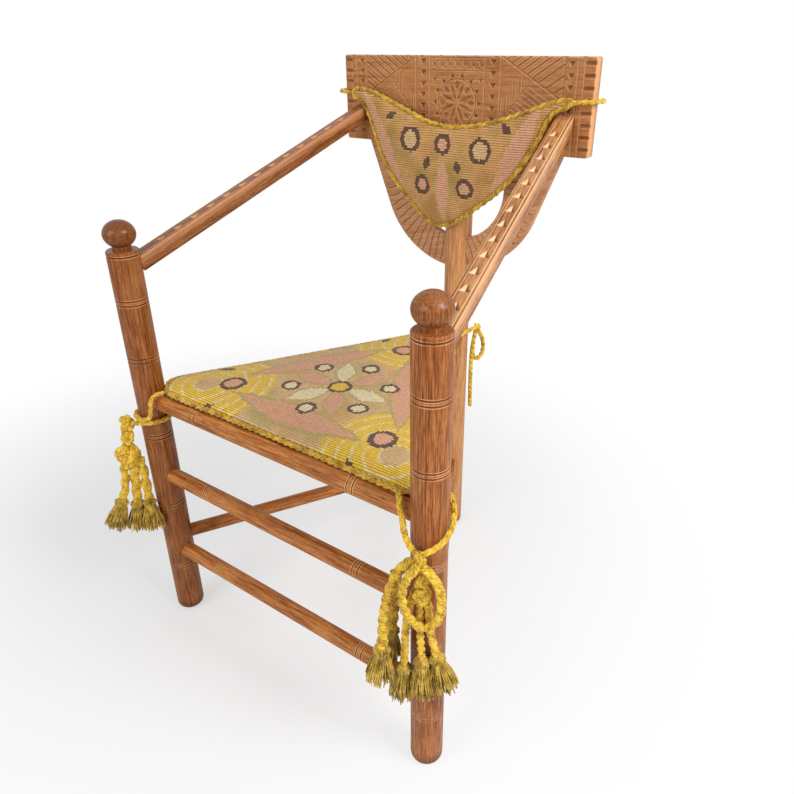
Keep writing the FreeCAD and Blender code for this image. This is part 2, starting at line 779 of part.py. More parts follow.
back_pad.Shape = cushion_shape(inset_outline(back_pad_line, edging / 2 + gap), value("back_pad_bend"), back_layers,
                               lambda flat, depth: V(flat.x, depth, flat.y))
node(back_pad, "back_cushion")
edging_depth = back_face - thick * 0.45
cord_part("back_edging", [V(point.x, edging_depth, point.y) for point in back_line], edging, True,
          value("back_edging_bend"))


def lump(name, radii, centre, turn=0.0, grow=0.0):
    """An egg-shaped knot. radii are along its width, its depth and its height."""
    item = doc.addObject("Part::Ellipsoid", name)
    item.Radius1 = radii[2] + grow
    item.Radius2 = radii[0] + grow
    item.Radius3 = radii[1] + grow
    item.Angle1 = -90
    item.Placement = FreeCAD.Placement(centre, FreeCAD.Rotation(V(0, 0, 1), turn))
    return item


def tassel(label, top, tip, neck):
    """A bound head and a spreading skirt, turned about the line from top to tip."""
    corners = [
        ("0", "0"),
        ("%s / 2" % neck, "0"),
        ("tassel_head / 2", "tassel_length * 0.06"),
        ("tassel_head / 2", "tassel_length * 0.16"),
        ("tassel_waist / 2", "tassel_length * 0.24"),
        ("tassel_width * 0.42", "tassel_length * 0.62"),
        ("tassel_width / 2", "tassel_length * 0.96"),
        ("tassel_width * 0.46", "tassel_length"),
        ("0", "tassel_length"),
    ]
    body, turning = turned_body(label + "_turned", corners)
    body.Placement = FreeCAD.Placement(top, FreeCAD.Rotation(V(0, 0, 1), tip - top))
    return node(body, label)


tie = value("tie_diameter")
tail = value("tail_diameter")
fine = value("fine_tail_diameter")
loop = value("loop_diameter")


def hanging_tail(label, points, diameter, size_name, trims=(), lean=None):
    """A braided tail, with its tassel on the end, square to the tail's last run."""
    cord_part(label, points, diameter, trims=trims)
    last = points[-1] - points[-2]
    last.normalize()
    tassel(label.replace("tail", "tassel"), points[-1], points[-1] + last, size_name)


# Cord points are given from the axis of the post that they hang on and from the middle of the seat rails, and
# stand off further round a thicker post

seat_level = value("seat_rail_height")
DRAWN_RADIUS = 23.0


def from_post(post, across, along, up):
    flat = V(across, along, 0)
    return post + flat * (1 + (post_radius - DRAWN_RADIUS) / flat.Length) + V(0, 0, seat_level + up)


def from_left(across, along, up):
    return from_post(FRONT_LEFT, across, along, up)


def from_right(across, along, up):
    return from_post(FRONT_RIGHT, across, along, up)


def from_rear(across, along, up):
    return from_post(V(0, 0, 0), across, along, up)


# Front left tie: from the cushion's corner over the rail, once round the post, to a knot

around = (post_radius + tie / 2 + 0.9) / math.cos(math.radians(22.5))


def ring_point(centre, degrees, height, distance):
    angle = math.radians(degrees)
    return V(centre.x + distance * math.cos(angle), centre.y + distance * math.sin(angle), height)


left_wrap = [
    from_left(43.1, -4.7, 23.1), from_left(35.1, -11.5, 22), from_left(30.1, -20.5, 14),
    from_left(29.1, -23.5, 0), from_left(24.1, -26.5, -14),
]
for step in range(9):
    left_wrap.append(ring_point(FRONT_LEFT, 292 - 45 * step, seat_level - 23 - step, around))
left_wrap.append(from_left(-13.9, -33.5, -34))
KNOT_LEFT = from_left(-21.9, -37.5, -43)
HANK_LEFT = from_left(-25.9, -42.5, -98)
knot_radii = (12, 10, 20)
neck_radii = (8, 8, 30)
hank_radii = (22, 17, 22)
cord_part("front_left_tie", left_wrap, tie, trims=[lump("front_left_knot_space", knot_radii, KNOT_LEFT, 57, 0.2)])
upper_lump = lump("front_left_upper_lump", knot_radii, KNOT_LEFT, 57)
neck_lump = lump("front_left_neck_lump", neck_radii, (KNOT_LEFT + HANK_LEFT) * 0.5, 57)
lower_lump = lump("front_left_lower_lump", hank_radii, HANK_LEFT, 57)
node(fuse("front_left_knot_lumps", [upper_lump, neck_lump, lower_lump]), "front_left_knot")
left_hank_space = lump("front_left_hank_space", hank_radii, HANK_LEFT, 57, 0.2)
hanging_tail("front_left_tail_1", [
    from_left(-30.9, -49.5, -103), from_left(-32.9, -52.5, -121), from_left(-33.9, -53.5, -139),
    from_left(-35.9, -56.5, -157), from_left(-39.4, -63, -175)],
    tail, "tail_diameter", trims=[left_hank_space])
hanging_tail("front_left_tail_2", [
    from_left(-24.9, -39.5, -105), from_left(-25.9, -40.7, -124), from_left(-25.9, -41, -143),
    from_left(-26.9, -42.5, -163), from_left(-27.9, -44.5, -183)],
    tail, "tail_diameter", trims=[left_hank_space])
hanging_tail("front_left_tail_3", [
    from_left(-18.9, -30.5, -103), from_left(-17.9, -28.5, -122), from_left(-16.9, -29.5, -141),
    from_left(-13.9, -31, -161), from_left(-10.4, -33.5, -180)],
    tail, "tail_diameter", trims=[left_hank_space])

# Front right tie: from the cushion's corner down the front of the post and up behind it, with its knot,
# a hanging loop, a smaller knot in the loop, and five tails

ACROSS = V(0.838, 0.545, 0)
OUTWARD = V(0.546, -0.838, 0)


def beside_right(across, outward, up):
    flat = ACROSS * across + OUTWARD * outward
    return from_right(flat.x, flat.y, up)


right_wrap = [
    from_right(-43.1, -4.7, 23.1), from_right(-35.1, -11.5, 22), from_right(-29.1, -20, 14),
    from_right(-23.6, -22.5, 2), from_right(-18.6, -26.5, -12), from_right(-8.1, -32.5, -23),
    from_right(8.4, -35.5, -30), from_right(23.9, -25.5, -22), from_right(32.9, -10.5, -8),
    from_right(32.9, 6.5, 6), from_right(23.9, 21.5, 17), from_right(12.9, 29, 21.5),
    from_right(0.9, 32, 22),
]
cord_part("front_right_tie", right_wrap, tie)
right_wrap_space = doc.addObject("Part::Feature", "front_right_tie_space")
right_wrap_space.Shape = tube(right_wrap, tie + 0.4, title="front_right_tie_space")
KNOT_RIGHT = beside_right(-11, 34, -40)
HANK_RIGHT = beside_right(-8, 30.6, -86)
right_knot_radii = (9, 8.5, 13.5)
right_hank_radii = (11, 8, 34)
node(cut("front_right_knot_cut", lump("front_right_knot_lump", right_knot_radii, KNOT_RIGHT, 33),
         [right_wrap_space]), "front_right_knot")
right_knot_space = lump("front_right_knot_space", right_knot_radii, KNOT_RIGHT, 33, 0.2)
node(cut("front_right_hank_cut", lump("front_right_hank_lump", right_hank_radii, HANK_RIGHT, 33),
         [right_knot_space]), "front_right_hank")
right_hank_space = lump("front_right_hank_space", right_hank_radii, HANK_RIGHT, 33, 0.2)
right_loop = [
    (-13, 38, -42), (-25, 41, -55), (-31.5, 41, -75), (-31.5, 41, -97), (-25.5, 41, -116), (-15, 41, -131),
    (-3.8, 41, -137), (8, 41, -130), (15, 41, -111), (15.5, 41, -89), (11.5, 41, -67), (3, 40, -53), (-7, 36, -43),
]
cord_part("front_right_loop", [beside_right(*spot) for spot in right_loop], loop,
          trims=[right_knot_space, right_hank_space])
first_tail = [beside_right(*spot) for spot in (
    (-12, 28.5, -43), (-23, 23.5, -46), (-38, 25, -63), (-47, 27.5, -90), (-53, 28, -120), (-55.5, 29, -152),
    (-57.5, 32, -178))]
hanging_tail("front_right_tail_1", first_tail, tail, "tail_diameter", trims=[right_knot_space])
first_tail_space = doc.addObject("Part::Feature", "front_right_tail_1_space")
first_tail_space.Shape = tube(first_tail, tail + 0.4, title="front_right_tail_1_space")
hanging_tail("front_right_tail_2", [beside_right(*spot) for spot in (
    (-39, 25, -65), (-39, 16, -82), (-41, 11, -106), (-43, 9, -131), (-45, 8, -153), (-47, 8, -170))],
    tail, "tail_diameter", trims=[first_tail_space])
hanging_tail("front_right_tail_3", [beside_right(*spot) for spot in (
    (-15, 28, -82), (-21, 28, -105), (-26, 28, -129), (-28.5, 28, -159), (-29, 28, -188), (-30.5, 28.6, -214))],
    fine, "fine_tail_diameter", trims=[right_hank_space])
hanging_tail("front_right_tail_4", [beside_right(*spot) for spot in (
    (-10, 29, -105), (-10.5, 28.5, -128), (-10, 28.5, -151), (-9, 28.8, -175), (-7.5, 32, -198))],
    fine, "fine_tail_diameter", trims=[right_hank_space])
hanging_tail("front_right_tail_5", [beside_right(*spot) for spot in (
    (-0.5, 29, -105), (0.5, 28.5, -128), (2, 28.5, -151), (6, 29, -173), (11, 31, -193))],
    fine, "fine_tail_diameter", trims=[right_hank_space])

# Rear tie: round the right of the rear post to a small knot, with one loop and one tail

KNOT_REAR = from_rear(31, 24, 17)
rear_knot_radii = (8, 8, 9)
rear_knot_space = lump("rear_knot_space", rear_knot_radii, KNOT_REAR, 0, 0.2)
node(lump("rear_knot_lump", rear_knot_radii, KNOT_REAR), "rear_knot")
cord_part("rear_tie", [from_rear(*spot) for spot in (
    (28.95, -34.7, 21.5), (31.8, -19, 23), (33.5, 0, 22.5), (31.5, 21, 19))], tie, trims=[rear_knot_space])
cord_part("rear_loop", [from_rear(*spot) for spot in (
    (33, 26, 13), (39.5, 31.5, -2), (42, 34, -22), (38.5, 30.5, -39), (31, 24, -47), (26.5, 20.5, -36),
    (25.5, 22, -19), (28, 26.5, 12))], tie, trims=[rear_knot_space])
cord_part("rear_tail", [from_rear(*spot) for spot in (
    (32.5, 18.5, 14), (32, 12, -3), (29.5, 11, -28), (28, 13, -60), (27, 15, -92), (26.5, 17, -121),
    (27.5, 17, -146))], tie, trims=[rear_knot_space])

# Back cushion ties: from each tip round the end of the crest and along its back. Their points are given past
# the crest's end, behind its face or back, and up from its lower edge

crest_face = value("crest_back - crest_thickness")
crest_rear = value("crest_back")
for side, sign in (("left", -1), ("right", 1)):
    cord_part("back_%s_tie" % side, [V(sign * (half_crest + past), along, crest_foot + up) for past, along, up in (
        (-17, crest_face - 11, 76), (-6, crest_face - 9, 77), (7, crest_face - 7.5, 77.5),
        (8, (crest_face + crest_rear) / 2, 77.5), (7, crest_rear + 7.5, 77), (-6, crest_rear + 8.5, 76),
        (-19, crest_rear + 4.3, 75.5), (-32, crest_rear + 4.3, 75))], tie)

# Report and files

doc.recompute()
for item in doc.Objects:
    if "Invalid" in item.State or "Error" in item.State:
        raise RuntimeError("%s failed: %s" % (item.Name, item.State))
for item in nodes:
    if item.Shape.isNull() or not item.Shape.isValid() or item.Shape.Volume <= 0:
        raise RuntimeError("%s has no sound shape" % item.Label)
    if len(item.Shape.Solids) != 1:
        raise RuntimeError("%s has %d solids" % (item.Label, len(item.Shape.Solids)))

os.makedirs("parts", exist_ok=True)
for item in nodes:
    item.Shape.exportStep("parts/%s.step" % item.Label)
    print("%s %.0f mm3" % (item.Label, item.Shape.Volume))
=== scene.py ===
import math
import bpy
import numpy as np
from mathutils import Matrix, Vector


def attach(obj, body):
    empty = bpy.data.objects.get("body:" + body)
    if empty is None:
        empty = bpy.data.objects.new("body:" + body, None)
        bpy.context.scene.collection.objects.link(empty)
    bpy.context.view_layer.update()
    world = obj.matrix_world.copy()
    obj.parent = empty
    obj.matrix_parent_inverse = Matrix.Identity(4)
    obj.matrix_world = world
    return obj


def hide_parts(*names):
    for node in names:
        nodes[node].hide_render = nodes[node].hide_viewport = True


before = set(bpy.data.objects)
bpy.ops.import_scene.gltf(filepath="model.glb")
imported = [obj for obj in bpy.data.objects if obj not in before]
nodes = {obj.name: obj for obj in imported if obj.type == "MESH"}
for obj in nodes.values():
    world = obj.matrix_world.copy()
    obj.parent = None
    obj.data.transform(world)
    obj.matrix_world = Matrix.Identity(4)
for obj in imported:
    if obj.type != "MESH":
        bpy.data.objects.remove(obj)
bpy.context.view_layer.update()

# The two front posts are turned from oak stained a dark red brown. Each has a ball on a short neck, a rim
# and pairs of scribed rings. The rails, stretchers and arm stand in blind holes in them.


def add(tree, kind, feeds=None, **settings):
    item = tree.nodes.new(kind)
    for key, setting in settings.items():
        setattr(item, key, setting)
    for key, feed in (feeds or {}).items():
        if isinstance(feed, bpy.types.NodeSocket):
            tree.links.new(feed, item.inputs[key])
        else:
            item.inputs[key].default_value = feed
    return item


def calc(tree, operation, *terms, clamp=False):
    item = tree.nodes.new("ShaderNodeMath")
    item.operation = operation
    item.use_clamp = clamp
    for socket, term in zip(item.inputs, terms):
        if isinstance(term, bpy.types.NodeSocket):
            tree.links.new(term, socket)
        else:
            socket.default_value = term
    return item.outputs[0]


def times(tree, *terms):
    return calc(tree, "MULTIPLY", *terms)


def plus(tree, *terms, clamp=False):
    return calc(tree, "ADD", *terms, clamp=clamp)


def minus(tree, *terms, clamp=False):
    return calc(tree, "SUBTRACT", *terms, clamp=clamp)


def tint(tree, share, under, over):
    item = tree.nodes.new("ShaderNodeMix")
    item.data_type = "RGBA"
    for socket, feed in ((item.inputs[0], share), (item.inputs[6], under), (item.inputs[7], over)):
        if isinstance(feed, bpy.types.NodeSocket):
            tree.links.new(feed, socket)
        else:
            socket.default_value = (*feed, 1) if isinstance(feed, tuple) else feed
    return item.outputs[2]


def ramp(tree, share, stops):
    item = add(tree, "ShaderNodeValToRGB", {0: share})
    while len(item.color_ramp.elements) < len(stops):
        item.color_ramp.elements.new(0.5)
    for element, (place, colour) in zip(item.color_ramp.elements, stops):
        element.position = place
        element.color = (*colour, 1)
    return item.outputs[0]


def span(tree, feed, low, high, start=0.0, end=1.0, smooth=True):
    item = add(tree, "ShaderNodeMapRange", {0: feed, 1: low, 2: high, 3: start, 4: end}, clamp=True)
    item.interpolation_type = "SMOOTHSTEP" if smooth else "LINEAR"
    return item.outputs[0]


def noise(tree, place, scale, detail, roughness=0.5, long=None, distortion=0.0):
    """Noise at a place. long, under 1, draws it out along Z."""
    if long:
        place = add(tree, "ShaderNodeVectorMath", {0: place, 1: (1, 1, long)},
                    operation="MULTIPLY").outputs[0]
    feeds = {"Vector": place, "Scale": scale, "Detail": detail, "Roughness": roughness,
             "Distortion": distortion}
    return add(tree, "ShaderNodeTexNoise", feeds).outputs[0]


def node_group(name, inputs, outputs, kind="ShaderNodeTree"):
    """A node group with these inputs (name, kind, start) and outputs (name, kind)."""
    group = bpy.data.node_groups.new(name, kind)
    for title, socket_kind, start in inputs:
        socket = group.interface.new_socket(title, in_out="INPUT", socket_type=socket_kind)
        if start is not None:
            socket.default_value = start
    for title, socket_kind in outputs:
        group.interface.new_socket(title, in_out="OUTPUT", socket_type=socket_kind)
    return group, group.nodes.new("NodeGroupInput").outputs, group.nodes.new("NodeGroupOutput").inputs


NUMBER, ARROW, COUNT = "NodeSocketFloat", "NodeSocketVector", "NodeSocketInt"
SHAPE, STUFF = "NodeSocketGeometry", "NodeSocketMaterial"

# grain runs along Z of the vector given: long streaks, short dark pores and broad cloudy patches
oak_grain, gin, gout = node_group(
    "oak_grain", [("Vector", ARROW, None), ("Streak scale", NUMBER, 300.0), ("Pore scale", NUMBER, 1300.0)],
    [("Streaks", NUMBER), ("Pores", NUMBER), ("Patches", NUMBER), ("Height", NUMBER)])
tree = oak_grain
streaks = noise(tree, gin["Vector"], gin["Streak scale"], 5.0, 0.62, 0.05, 0.3)
pores = noise(tree, gin["Vector"], gin["Pore scale"], 2.0, 0.5, 0.07)
patches = noise(tree, gin["Vector"], 24.0, 4.0, 0.6, 0.45)
fine = noise(tree, gin["Vector"], 1100.0, 2.0, 0.5, 0.025)
pore_mask = span(tree, pores, 0.56, 0.68)
tree.links.new(plus(tree, times(tree, streaks, 0.62), times(tree, fine, 0.38)), gout["Streaks"])
tree.links.new(pore_mask, gout["Pores"])
tree.links.new(patches, gout["Patches"])
tree.links.new(minus(tree, streaks, times(tree, pore_mask, 0.6)), gout["Height"])

# a pair of scribed lines across a turned piece, and the pale lip beside each: rubbed wear and painted
# highlight
scribed_rings, gin, gout = node_group(
    "scribed_rings", [("Along", NUMBER, 0.0), ("Line", NUMBER, 0.1), ("Gap", NUMBER, 0.0065),
                      ("Width", NUMBER, 0.0024)], [("Groove", NUMBER), ("Lip", NUMBER)])
tree = scribed_rings
upper = calc(tree, "ABSOLUTE", minus(tree, gin["Along"], gin["Line"]))
lower = calc(tree, "ABSOLUTE", minus(tree, gin["Along"], minus(tree, gin["Line"], gin["Gap"])))
off = calc(tree, "DIVIDE", calc(tree, "MINIMUM", upper, lower), gin["Width"])
tree.links.new(span(tree, off, 0.25, 0.6, 1.0, 0.0), gout["Groove"])
tree.links.new(times(tree, span(tree, off, 0.45, 0.65), span(tree, off, 0.75, 1.15, 1.0, 0.0)), gout["Lip"])


def oak(name, grain, dark, middle, light, rings=(), ring_gap=0.0065, ring_width=0.0024,
        gloss=0.42, carved=False, post=False, streak_scale=300.0, single=()):
    """Varnished oak with fibres along grain. rings (pairs) and single are the places of scribed lines."""
    material = bpy.data.materials.new(name)
    material.use_nodes = True
    tree = material.node_tree
    surface = tree.nodes["Principled BSDF"]
    place = add(tree, "ShaderNodeTexCoord").outputs["Object"]
    turn = Vector(grain).normalized().rotation_difference(Vector((0, 0, 1))).to_euler()
    lay = add(tree, "ShaderNodeMapping", {"Vector": place, "Rotation": tuple(turn)}).outputs[0]
    wood = add(tree, "ShaderNodeGroup", {"Vector": lay, "Streak scale": streak_scale}, node_tree=oak_grain)
    colour = ramp(tree, wood.outputs["Streaks"], [(0.33, dark), (0.48, middle), (0.68, light)])
    worn = span(tree, wood.outputs["Patches"], 0.52, 0.72)
    colour = tint(tree, times(tree, worn, 0.4), colour, light)
    stain = span(tree, wood.outputs["Patches"], 0.42, 0.26)
    colour = tint(tree, times(tree, stain, 0.55), colour, dark)
    colour = tint(tree, times(tree, wood.outputs["Pores"], 0.55), colour, tuple(c * 0.45 for c in dark))
    height = wood.outputs["Height"]
    if rings:
        axis = Vector(grain).normalized()
        along = add(tree, "ShaderNodeVectorMath", {0: place, 1: tuple(axis)}, operation="DOT_PRODUCT")
        groove, lip = 0.0, 0.0
        for spot, apart in [(spot, ring_gap) for spot in rings] + [(spot, 0.0) for spot in single]:
            feeds = {"Along": along.outputs["Value"], "Line": spot, "Gap": apart, "Width": ring_width}
            pair = add(tree, "ShaderNodeGroup", feeds, node_tree=scribed_rings)
            groove = calc(tree, "MAXIMUM", groove, pair.outputs["Groove"])
            lip = calc(tree, "MAXIMUM", lip, pair.outputs["Lip"])
        # painted shade darkens the scribed grooves; the paler lips beside them are rubbed wear and painted
        # highlight
        colour = tint(tree, times(tree, groove, 0.6), colour, tuple(c * 0.6 for c in dark))
        rub_and_highlight = times(tree, lip, span(tree, wood.outputs["Patches"], 0.38, 0.6, 0.15, 0.75))
        colour = tint(tree, rub_and_highlight, colour, tuple(min(1, c * 1.5 + 0.08) for c in light))
    if carved:
        # painted shade darkens the carved cuts by their depth; the worn marks are paler, as rubbed wear and
        # painted highlight
        cut = add(tree, "ShaderNodeAttribute", attribute_name="carved").outputs["Fac"]
        edge = add(tree, "ShaderNodeAttribute", attribute_name="worn").outputs["Fac"]
        colour = tint(tree, times(tree, cut, 0.7), colour, tuple(c * 0.6 for c in dark))
        colour = tint(tree, edge, colour, tuple(min(1, c * 1.25 + 0.06) for c in light))
    knob = None
    if post:
        split = add(tree, "ShaderNodeSeparateXYZ", {0: place})
        # darker towards the bottom of each post
        darker_foot = span(tree, split.outputs[2], 0.03, 0.0, 0.0, 0.7)
        colour = tint(tree, darker_foot, colour, tuple(c * 0.5 for c in dark))
        knob = span(tree, split.outputs[2], 0.6625, 0.6645)
        # painted shade: the left front post darker all over and the rear post darker towards its left; above
        # the rim the tops are darker too
        left_painted_shade = span(tree, split.outputs[0], 0.1, -0.1, 0.0, 0.3)
        shade = plus(tree, times(tree, knob, 0.3), left_painted_shade)
        colour = tint(tree, shade, colour, dark)
    tree.links.new(colour, surface.inputs["Base Color"])
    rough = plus(tree, times(tree, wood.outputs["Streaks"], 0.25), gloss - 0.12, clamp=True)
    if knob is not None:
        rough = minus(tree, rough, times(tree, knob, 0.12), clamp=True)
    tree.links.new(plus(tree, rough, times(tree, wood.outputs["Pores"], 0.2)), surface.inputs["Roughness"])
    bump = add(tree, "ShaderNodeBump", {"Strength": 0.35, "Distance": 0.0006, "Height": height})
    tree.links.new(bump.outputs[0], surface.inputs["Normal"])
    surface.inputs["Specular IOR Level"].default_value = 0.3
    return material


def linked(name, data):
    """A new object that stands in the scene as it was made."""
    piece = bpy.data.objects.new(name, data)
    bpy.context.scene.collection.objects.link(piece)
    return piece


def dress(names, material):
    for name in names:
        piece = nodes[name]
        if not piece.data.materials:
            piece.data.materials.append(material)
        for spot in piece.material_slots:
            spot.material = material


# millimetres from the rear post to the front ones
POST_ACROSS, POST_FORWARD = 262.1, -481.5
POST_DARK, POST_MIDDLE, POST_LIGHT = (0.09, 0.018, 0.002), (0.33, 0.094, 0.012), (0.66, 0.27, 0.09)
dress(["front_left_post", "front_right_post"],
      oak("front_post_oak", (0, 0, 1), POST_DARK, POST_MIDDLE, POST_LIGHT,
          rings=(0.106, 0.236, 0.369, 0.5016, 0.592), single=(0.6564,), post=True, gloss=0.3,
          streak_scale=420.0))

# Three seat rails, two front stretchers and two side stretchers are plain turned bars of the same stained
# oak. The three front ones have a pair of scribed rings near each end. All are glued into the posts.

for names, grain, rings in (
        (["front_seat_rail", "front_upper_stretcher", "front_lower_stretcher"], (1, 0, 0),
         (-0.1455, 0.1545)),
        (["left_seat_rail", "left_side_stretcher"], (-POST_ACROSS, POST_FORWARD, 0), ()),
        (["right_seat_rail", "right_side_stretcher"], (POST_ACROSS, POST_FORWARD, 0), ())):
    dress(names, oak(names[0] + "_oak", grain, (0.10, 0.022, 0.003), (0.42, 0.125, 0.018),
                     (0.78, 0.34, 0.10), rings=rings, ring_gap=0.009, ring_width=0.0022, streak_scale=340.0,
                     gloss=0.4))

# The seat board is thin sawn oak, let into slots in the seat rails. The cushion hides it from above.

dress(["seat_board"], oak("seat_board_oak", (1, 0, 0), (0.16, 0.06, 0.022), (0.33, 0.15, 0.06),
                          (0.45, 0.24, 0.11), gloss=0.6, streak_scale=120.0))

# The rear post is turned from paler oak, rubbed almost bare. It stands under the middle of the crest.

dress(["rear_post"], oak("rear_post_oak", (0, 0, 1), (0.30, 0.11, 0.028), (0.62, 0.28, 0.10),
                         (0.84, 0.47, 0.22), gloss=0.45, post=True, streak_scale=220.0))

# Two curved brackets are sawn from pale oak plank and join the rear post to the crest. Their faces have
# fans of short gouged strokes, with small nicks near the outer edge.

bracket_wood = oak("bracket_oak", (1, 0, 0.25), (0.32, 0.125, 0.042), (0.56, 0.26, 0.115),
                   (0.74, 0.41, 0.22), gloss=0.5, streak_scale=180.0)
tree = bracket_wood.node_tree
surface = tree.nodes["Principled BSDF"]
place = add(tree, "ShaderNodeTexCoord").outputs["Object"]
spot = add(tree, "ShaderNodeSeparateXYZ", {0: place}).outputs
rise = minus(tree, spot[2], 0.712)
out_way = calc(tree, "SQRT", plus(tree, times(tree, rise, rise), times(tree, spot[0], spot[0])))
waver = noise(tree, place, 28.0, 2.0)
bent = plus(tree, times(tree, calc(tree, "ARCTAN2", rise, spot[0]), 10.0), times(tree, waver, 1.1))
bent = plus(tree, bent, times(tree, out_way, -9.0))
stroke = calc(tree, "ABSOLUTE", minus(tree, calc(tree, "FRACT", bent), 0.5))
stroke = span(tree, stroke, 0.03, 0.085, 1.0, 0.0)
reach = plus(tree, out_way, times(tree, waver, 0.02))
within = times(tree, span(tree, reach, 0.103, 0.109), span(tree, reach, 0.15, 0.158, 1.0, 0.0))
front_only = span(tree, spot[1], -0.0085, -0.0095)
stroke = times(tree, times(tree, stroke, within), front_only)
colour = surface.inputs["Base Color"].links[0].from_socket
# painted shade darkens the gouged strokes
colour = tint(tree, times(tree, stroke, 0.75), colour, (0.14, 0.045, 0.014))
tree.links.new(colour, surface.inputs["Base Color"])
smooth_way = surface.inputs["Normal"].links[0].from_socket
feeds = {"Strength": 0.8, "Distance": 0.0012, "Height": times(tree, stroke, -1.0), "Normal": smooth_way}
dent = add(tree, "ShaderNodeBump", feeds)
tree.links.new(dent.outputs[0], surface.inputs["Normal"])
dress(["left_bracket", "right_bracket"], bracket_wood)

# The crest board is a warm brown oak plank, chip carved by hand on its front: a rosette in a framed
# middle panel, strips of triangular chips, slanting strokes in the side panels and scooped bands at the
# ends.


class Carving:
    """Depths of knife cuts, in millimetres, on a grid of points on a face."""

    def __init__(self, across, up):
        self.across, self.up = across, up
        self.depth = np.zeros_like(across)

    def cut(self, depth):
        self.depth = np.maximum(self.depth, depth)

    def groove(self, x0, z0, x1, z1, width=2.4, deep=1.2):
        dx, dz = x1 - x0, z1 - z0
        share = np.clip(((self.across - x0) * dx + (self.up - z0) * dz) / (dx * dx + dz * dz), 0, 1)
        off = np.hypot(self.across - x0 - share * dx, self.up - z0 - share * dz)
        self.cut(deep * np.clip(1 - off / (width / 2), 0, 1))

    def path(self, points, width=2.2, deep=1.1):
        for (x0, z0), (x1, z1) in zip(points, points[1:]):
            self.groove(x0, z0, x1, z1, width, deep)

    def chip(self, x, z, width=12, height=9, deep=2.6, turn=0.0):
        c, s = math.cos(turn), math.sin(turn)
        u = ((self.across - x) * c + (self.up - z) * s) / (width / 2)
        v = (-(self.across - x) * s + (self.up - z) * c) / height + 0.5
        self.cut(deep * np.clip(np.minimum((v - np.abs(u)) * 1.6, (1 - v) * 3.2), 0, 1))

    def leaf(self, x0, z0, x1, z1, half, deep=2.4):
        length = math.hypot(x1 - x0, z1 - z0)
        dx, dz = (x1 - x0) / length, (z1 - z0) / length
        t = ((self.across - x0) * dx + (self.up - z0) * dz) / length
        s = np.abs((self.up - z0) * dx - (self.across - x0) * dz)
        side = half * np.sin(np.pi * np.clip(t, 0, 1)) ** 0.8 + 1e-6
        self.cut(np.where((t > 0) & (t < 1), deep * np.clip(1 - s / side, 0, 1), 0))

    def ring(self, x, z, radius, width=2.6, deep=1.3):
        self.cut(deep * np.clip(1 - np.abs(np.hypot(self.across - x, self.up - z) - radius) / (width / 2),
                                0, 1))

    def scoop(self, x, z, half_x, half_z, deep=1.6):
        off = ((self.across - x) / half_x) ** 2 + ((self.up - z) / half_z) ** 2
        self.cut(deep * np.sqrt(np.clip(1 - off, 0, 1)))


CREST_LEFT, CREST_RIGHT, CREST_LOW, CREST_HIGH = -225.0, 225.0, 767.0, 901.0
CREST_FACE, CREST_ROUND = -20.0, 4.0
columns, rows = np.linspace(CREST_LEFT, CREST_RIGHT, 451), np.linspace(CREST_LOW, CREST_HIGH, 135)
across, up = np.meshgrid(columns, rows)
carving = Carving(across, up)
CHIP_PITCH, ROSETTE_UP, BAND_UP, BAND_WAVE = 16.3, 833.6, 889, 28.5
PANEL_IN, PANEL_OUT, SLANT_FALL, STROKE_FALL = 76, 177, 0.57, 0.64
for side in (-1, 1):
    for line in (50, 77, 178, 199, 209):
        carving.groove(side * line, 766, side * line, 902, 2.6 if line != 209 else 1.8, 1.3)
    for step in range(8):
        carving.chip(side * 63.5, 892 - CHIP_PITCH * step, 15, 11, 3.0)
        carving.chip(side * 188.5, 891 - 15.6 * step, 13, 10, 2.8)
        carving.groove(side * 210.5, 893 - CHIP_PITCH * step, side * 222, 893 - CHIP_PITCH * step, 7.5, 2.4)

    # a long slant from the middle top corner, with strokes standing on it and strokes lying under it
    def slant(x):
        return CREST_HIGH - SLANT_FALL * (x - PANEL_IN)

    carving.groove(side * PANEL_IN, 902, side * PANEL_OUT, slant(PANEL_OUT), 3.2, 1.7)
    starts = [(84 + 8.1 * step, 900.5) for step in range(12)] + [(PANEL_OUT,
            898 - 7.5 * step) for step in range(7)]
    for number, (x, z) in enumerate(starts):
        foot = (slant(0) - z + STROKE_FALL * x) / (SLANT_FALL + STROKE_FALL) + 1
        width, deep = (3.4, 1.9) if number % 2 else (2.0, 1.0)
        carving.groove(side * x, z, side * foot, z + STROKE_FALL * (foot - x), width, deep)
    carving.groove(side * 79, 812, side * 127, 868, 2.6, 1.3)
    for step in range(1, 15):
        x = 127 - 4.6 * step
        z = 868 + (x - 127) * 1.167
        if x > 80:
            carving.groove(side * x, z, side * PANEL_OUT, z - SLANT_FALL * (PANEL_OUT - x), 2.2, 1.15)
            carving.groove(side * x, z, side * x, min(slant(x) - 3, z + 30), 2.0, 0.9)
    for step in range(6):
        carving.groove(side * 79, 806 - 7 * step, side * (79 + 60), 806 - 7 * step - 34, 2.2, 1.1)
for line in (899, 897.8, 880.3, 876.7, 868):
    carving.groove(-49, line, 49, line, 1.8, 0.9)
for swing in (5.6, -5.6):
    wave = [(x, BAND_UP + swing * math.sin(2 * math.pi * x / BAND_WAVE)) for x in np.linspace(-46, 46, 60)]
    carving.path(wave, 2.4, 1.3)
for step in range(-3, 4):
    carving.scoop(step * BAND_WAVE / 2, BAND_UP, 2.6, 2.2, 1.8)
carving.ring(0, ROSETTE_UP, 35, 3.0, 1.6)
for step in range(8):
    for turn, near, far, half in ((math.pi / 8, 3, 32, 3.6), (0.0, 20, 33, 5.0)):
        c, s = math.cos(turn + step * math.pi / 4), math.sin(turn + step * math.pi / 4)
        carving.leaf(near * c, ROSETTE_UP + near * s, far * c, ROSETTE_UP + far * s, half, 1.5)
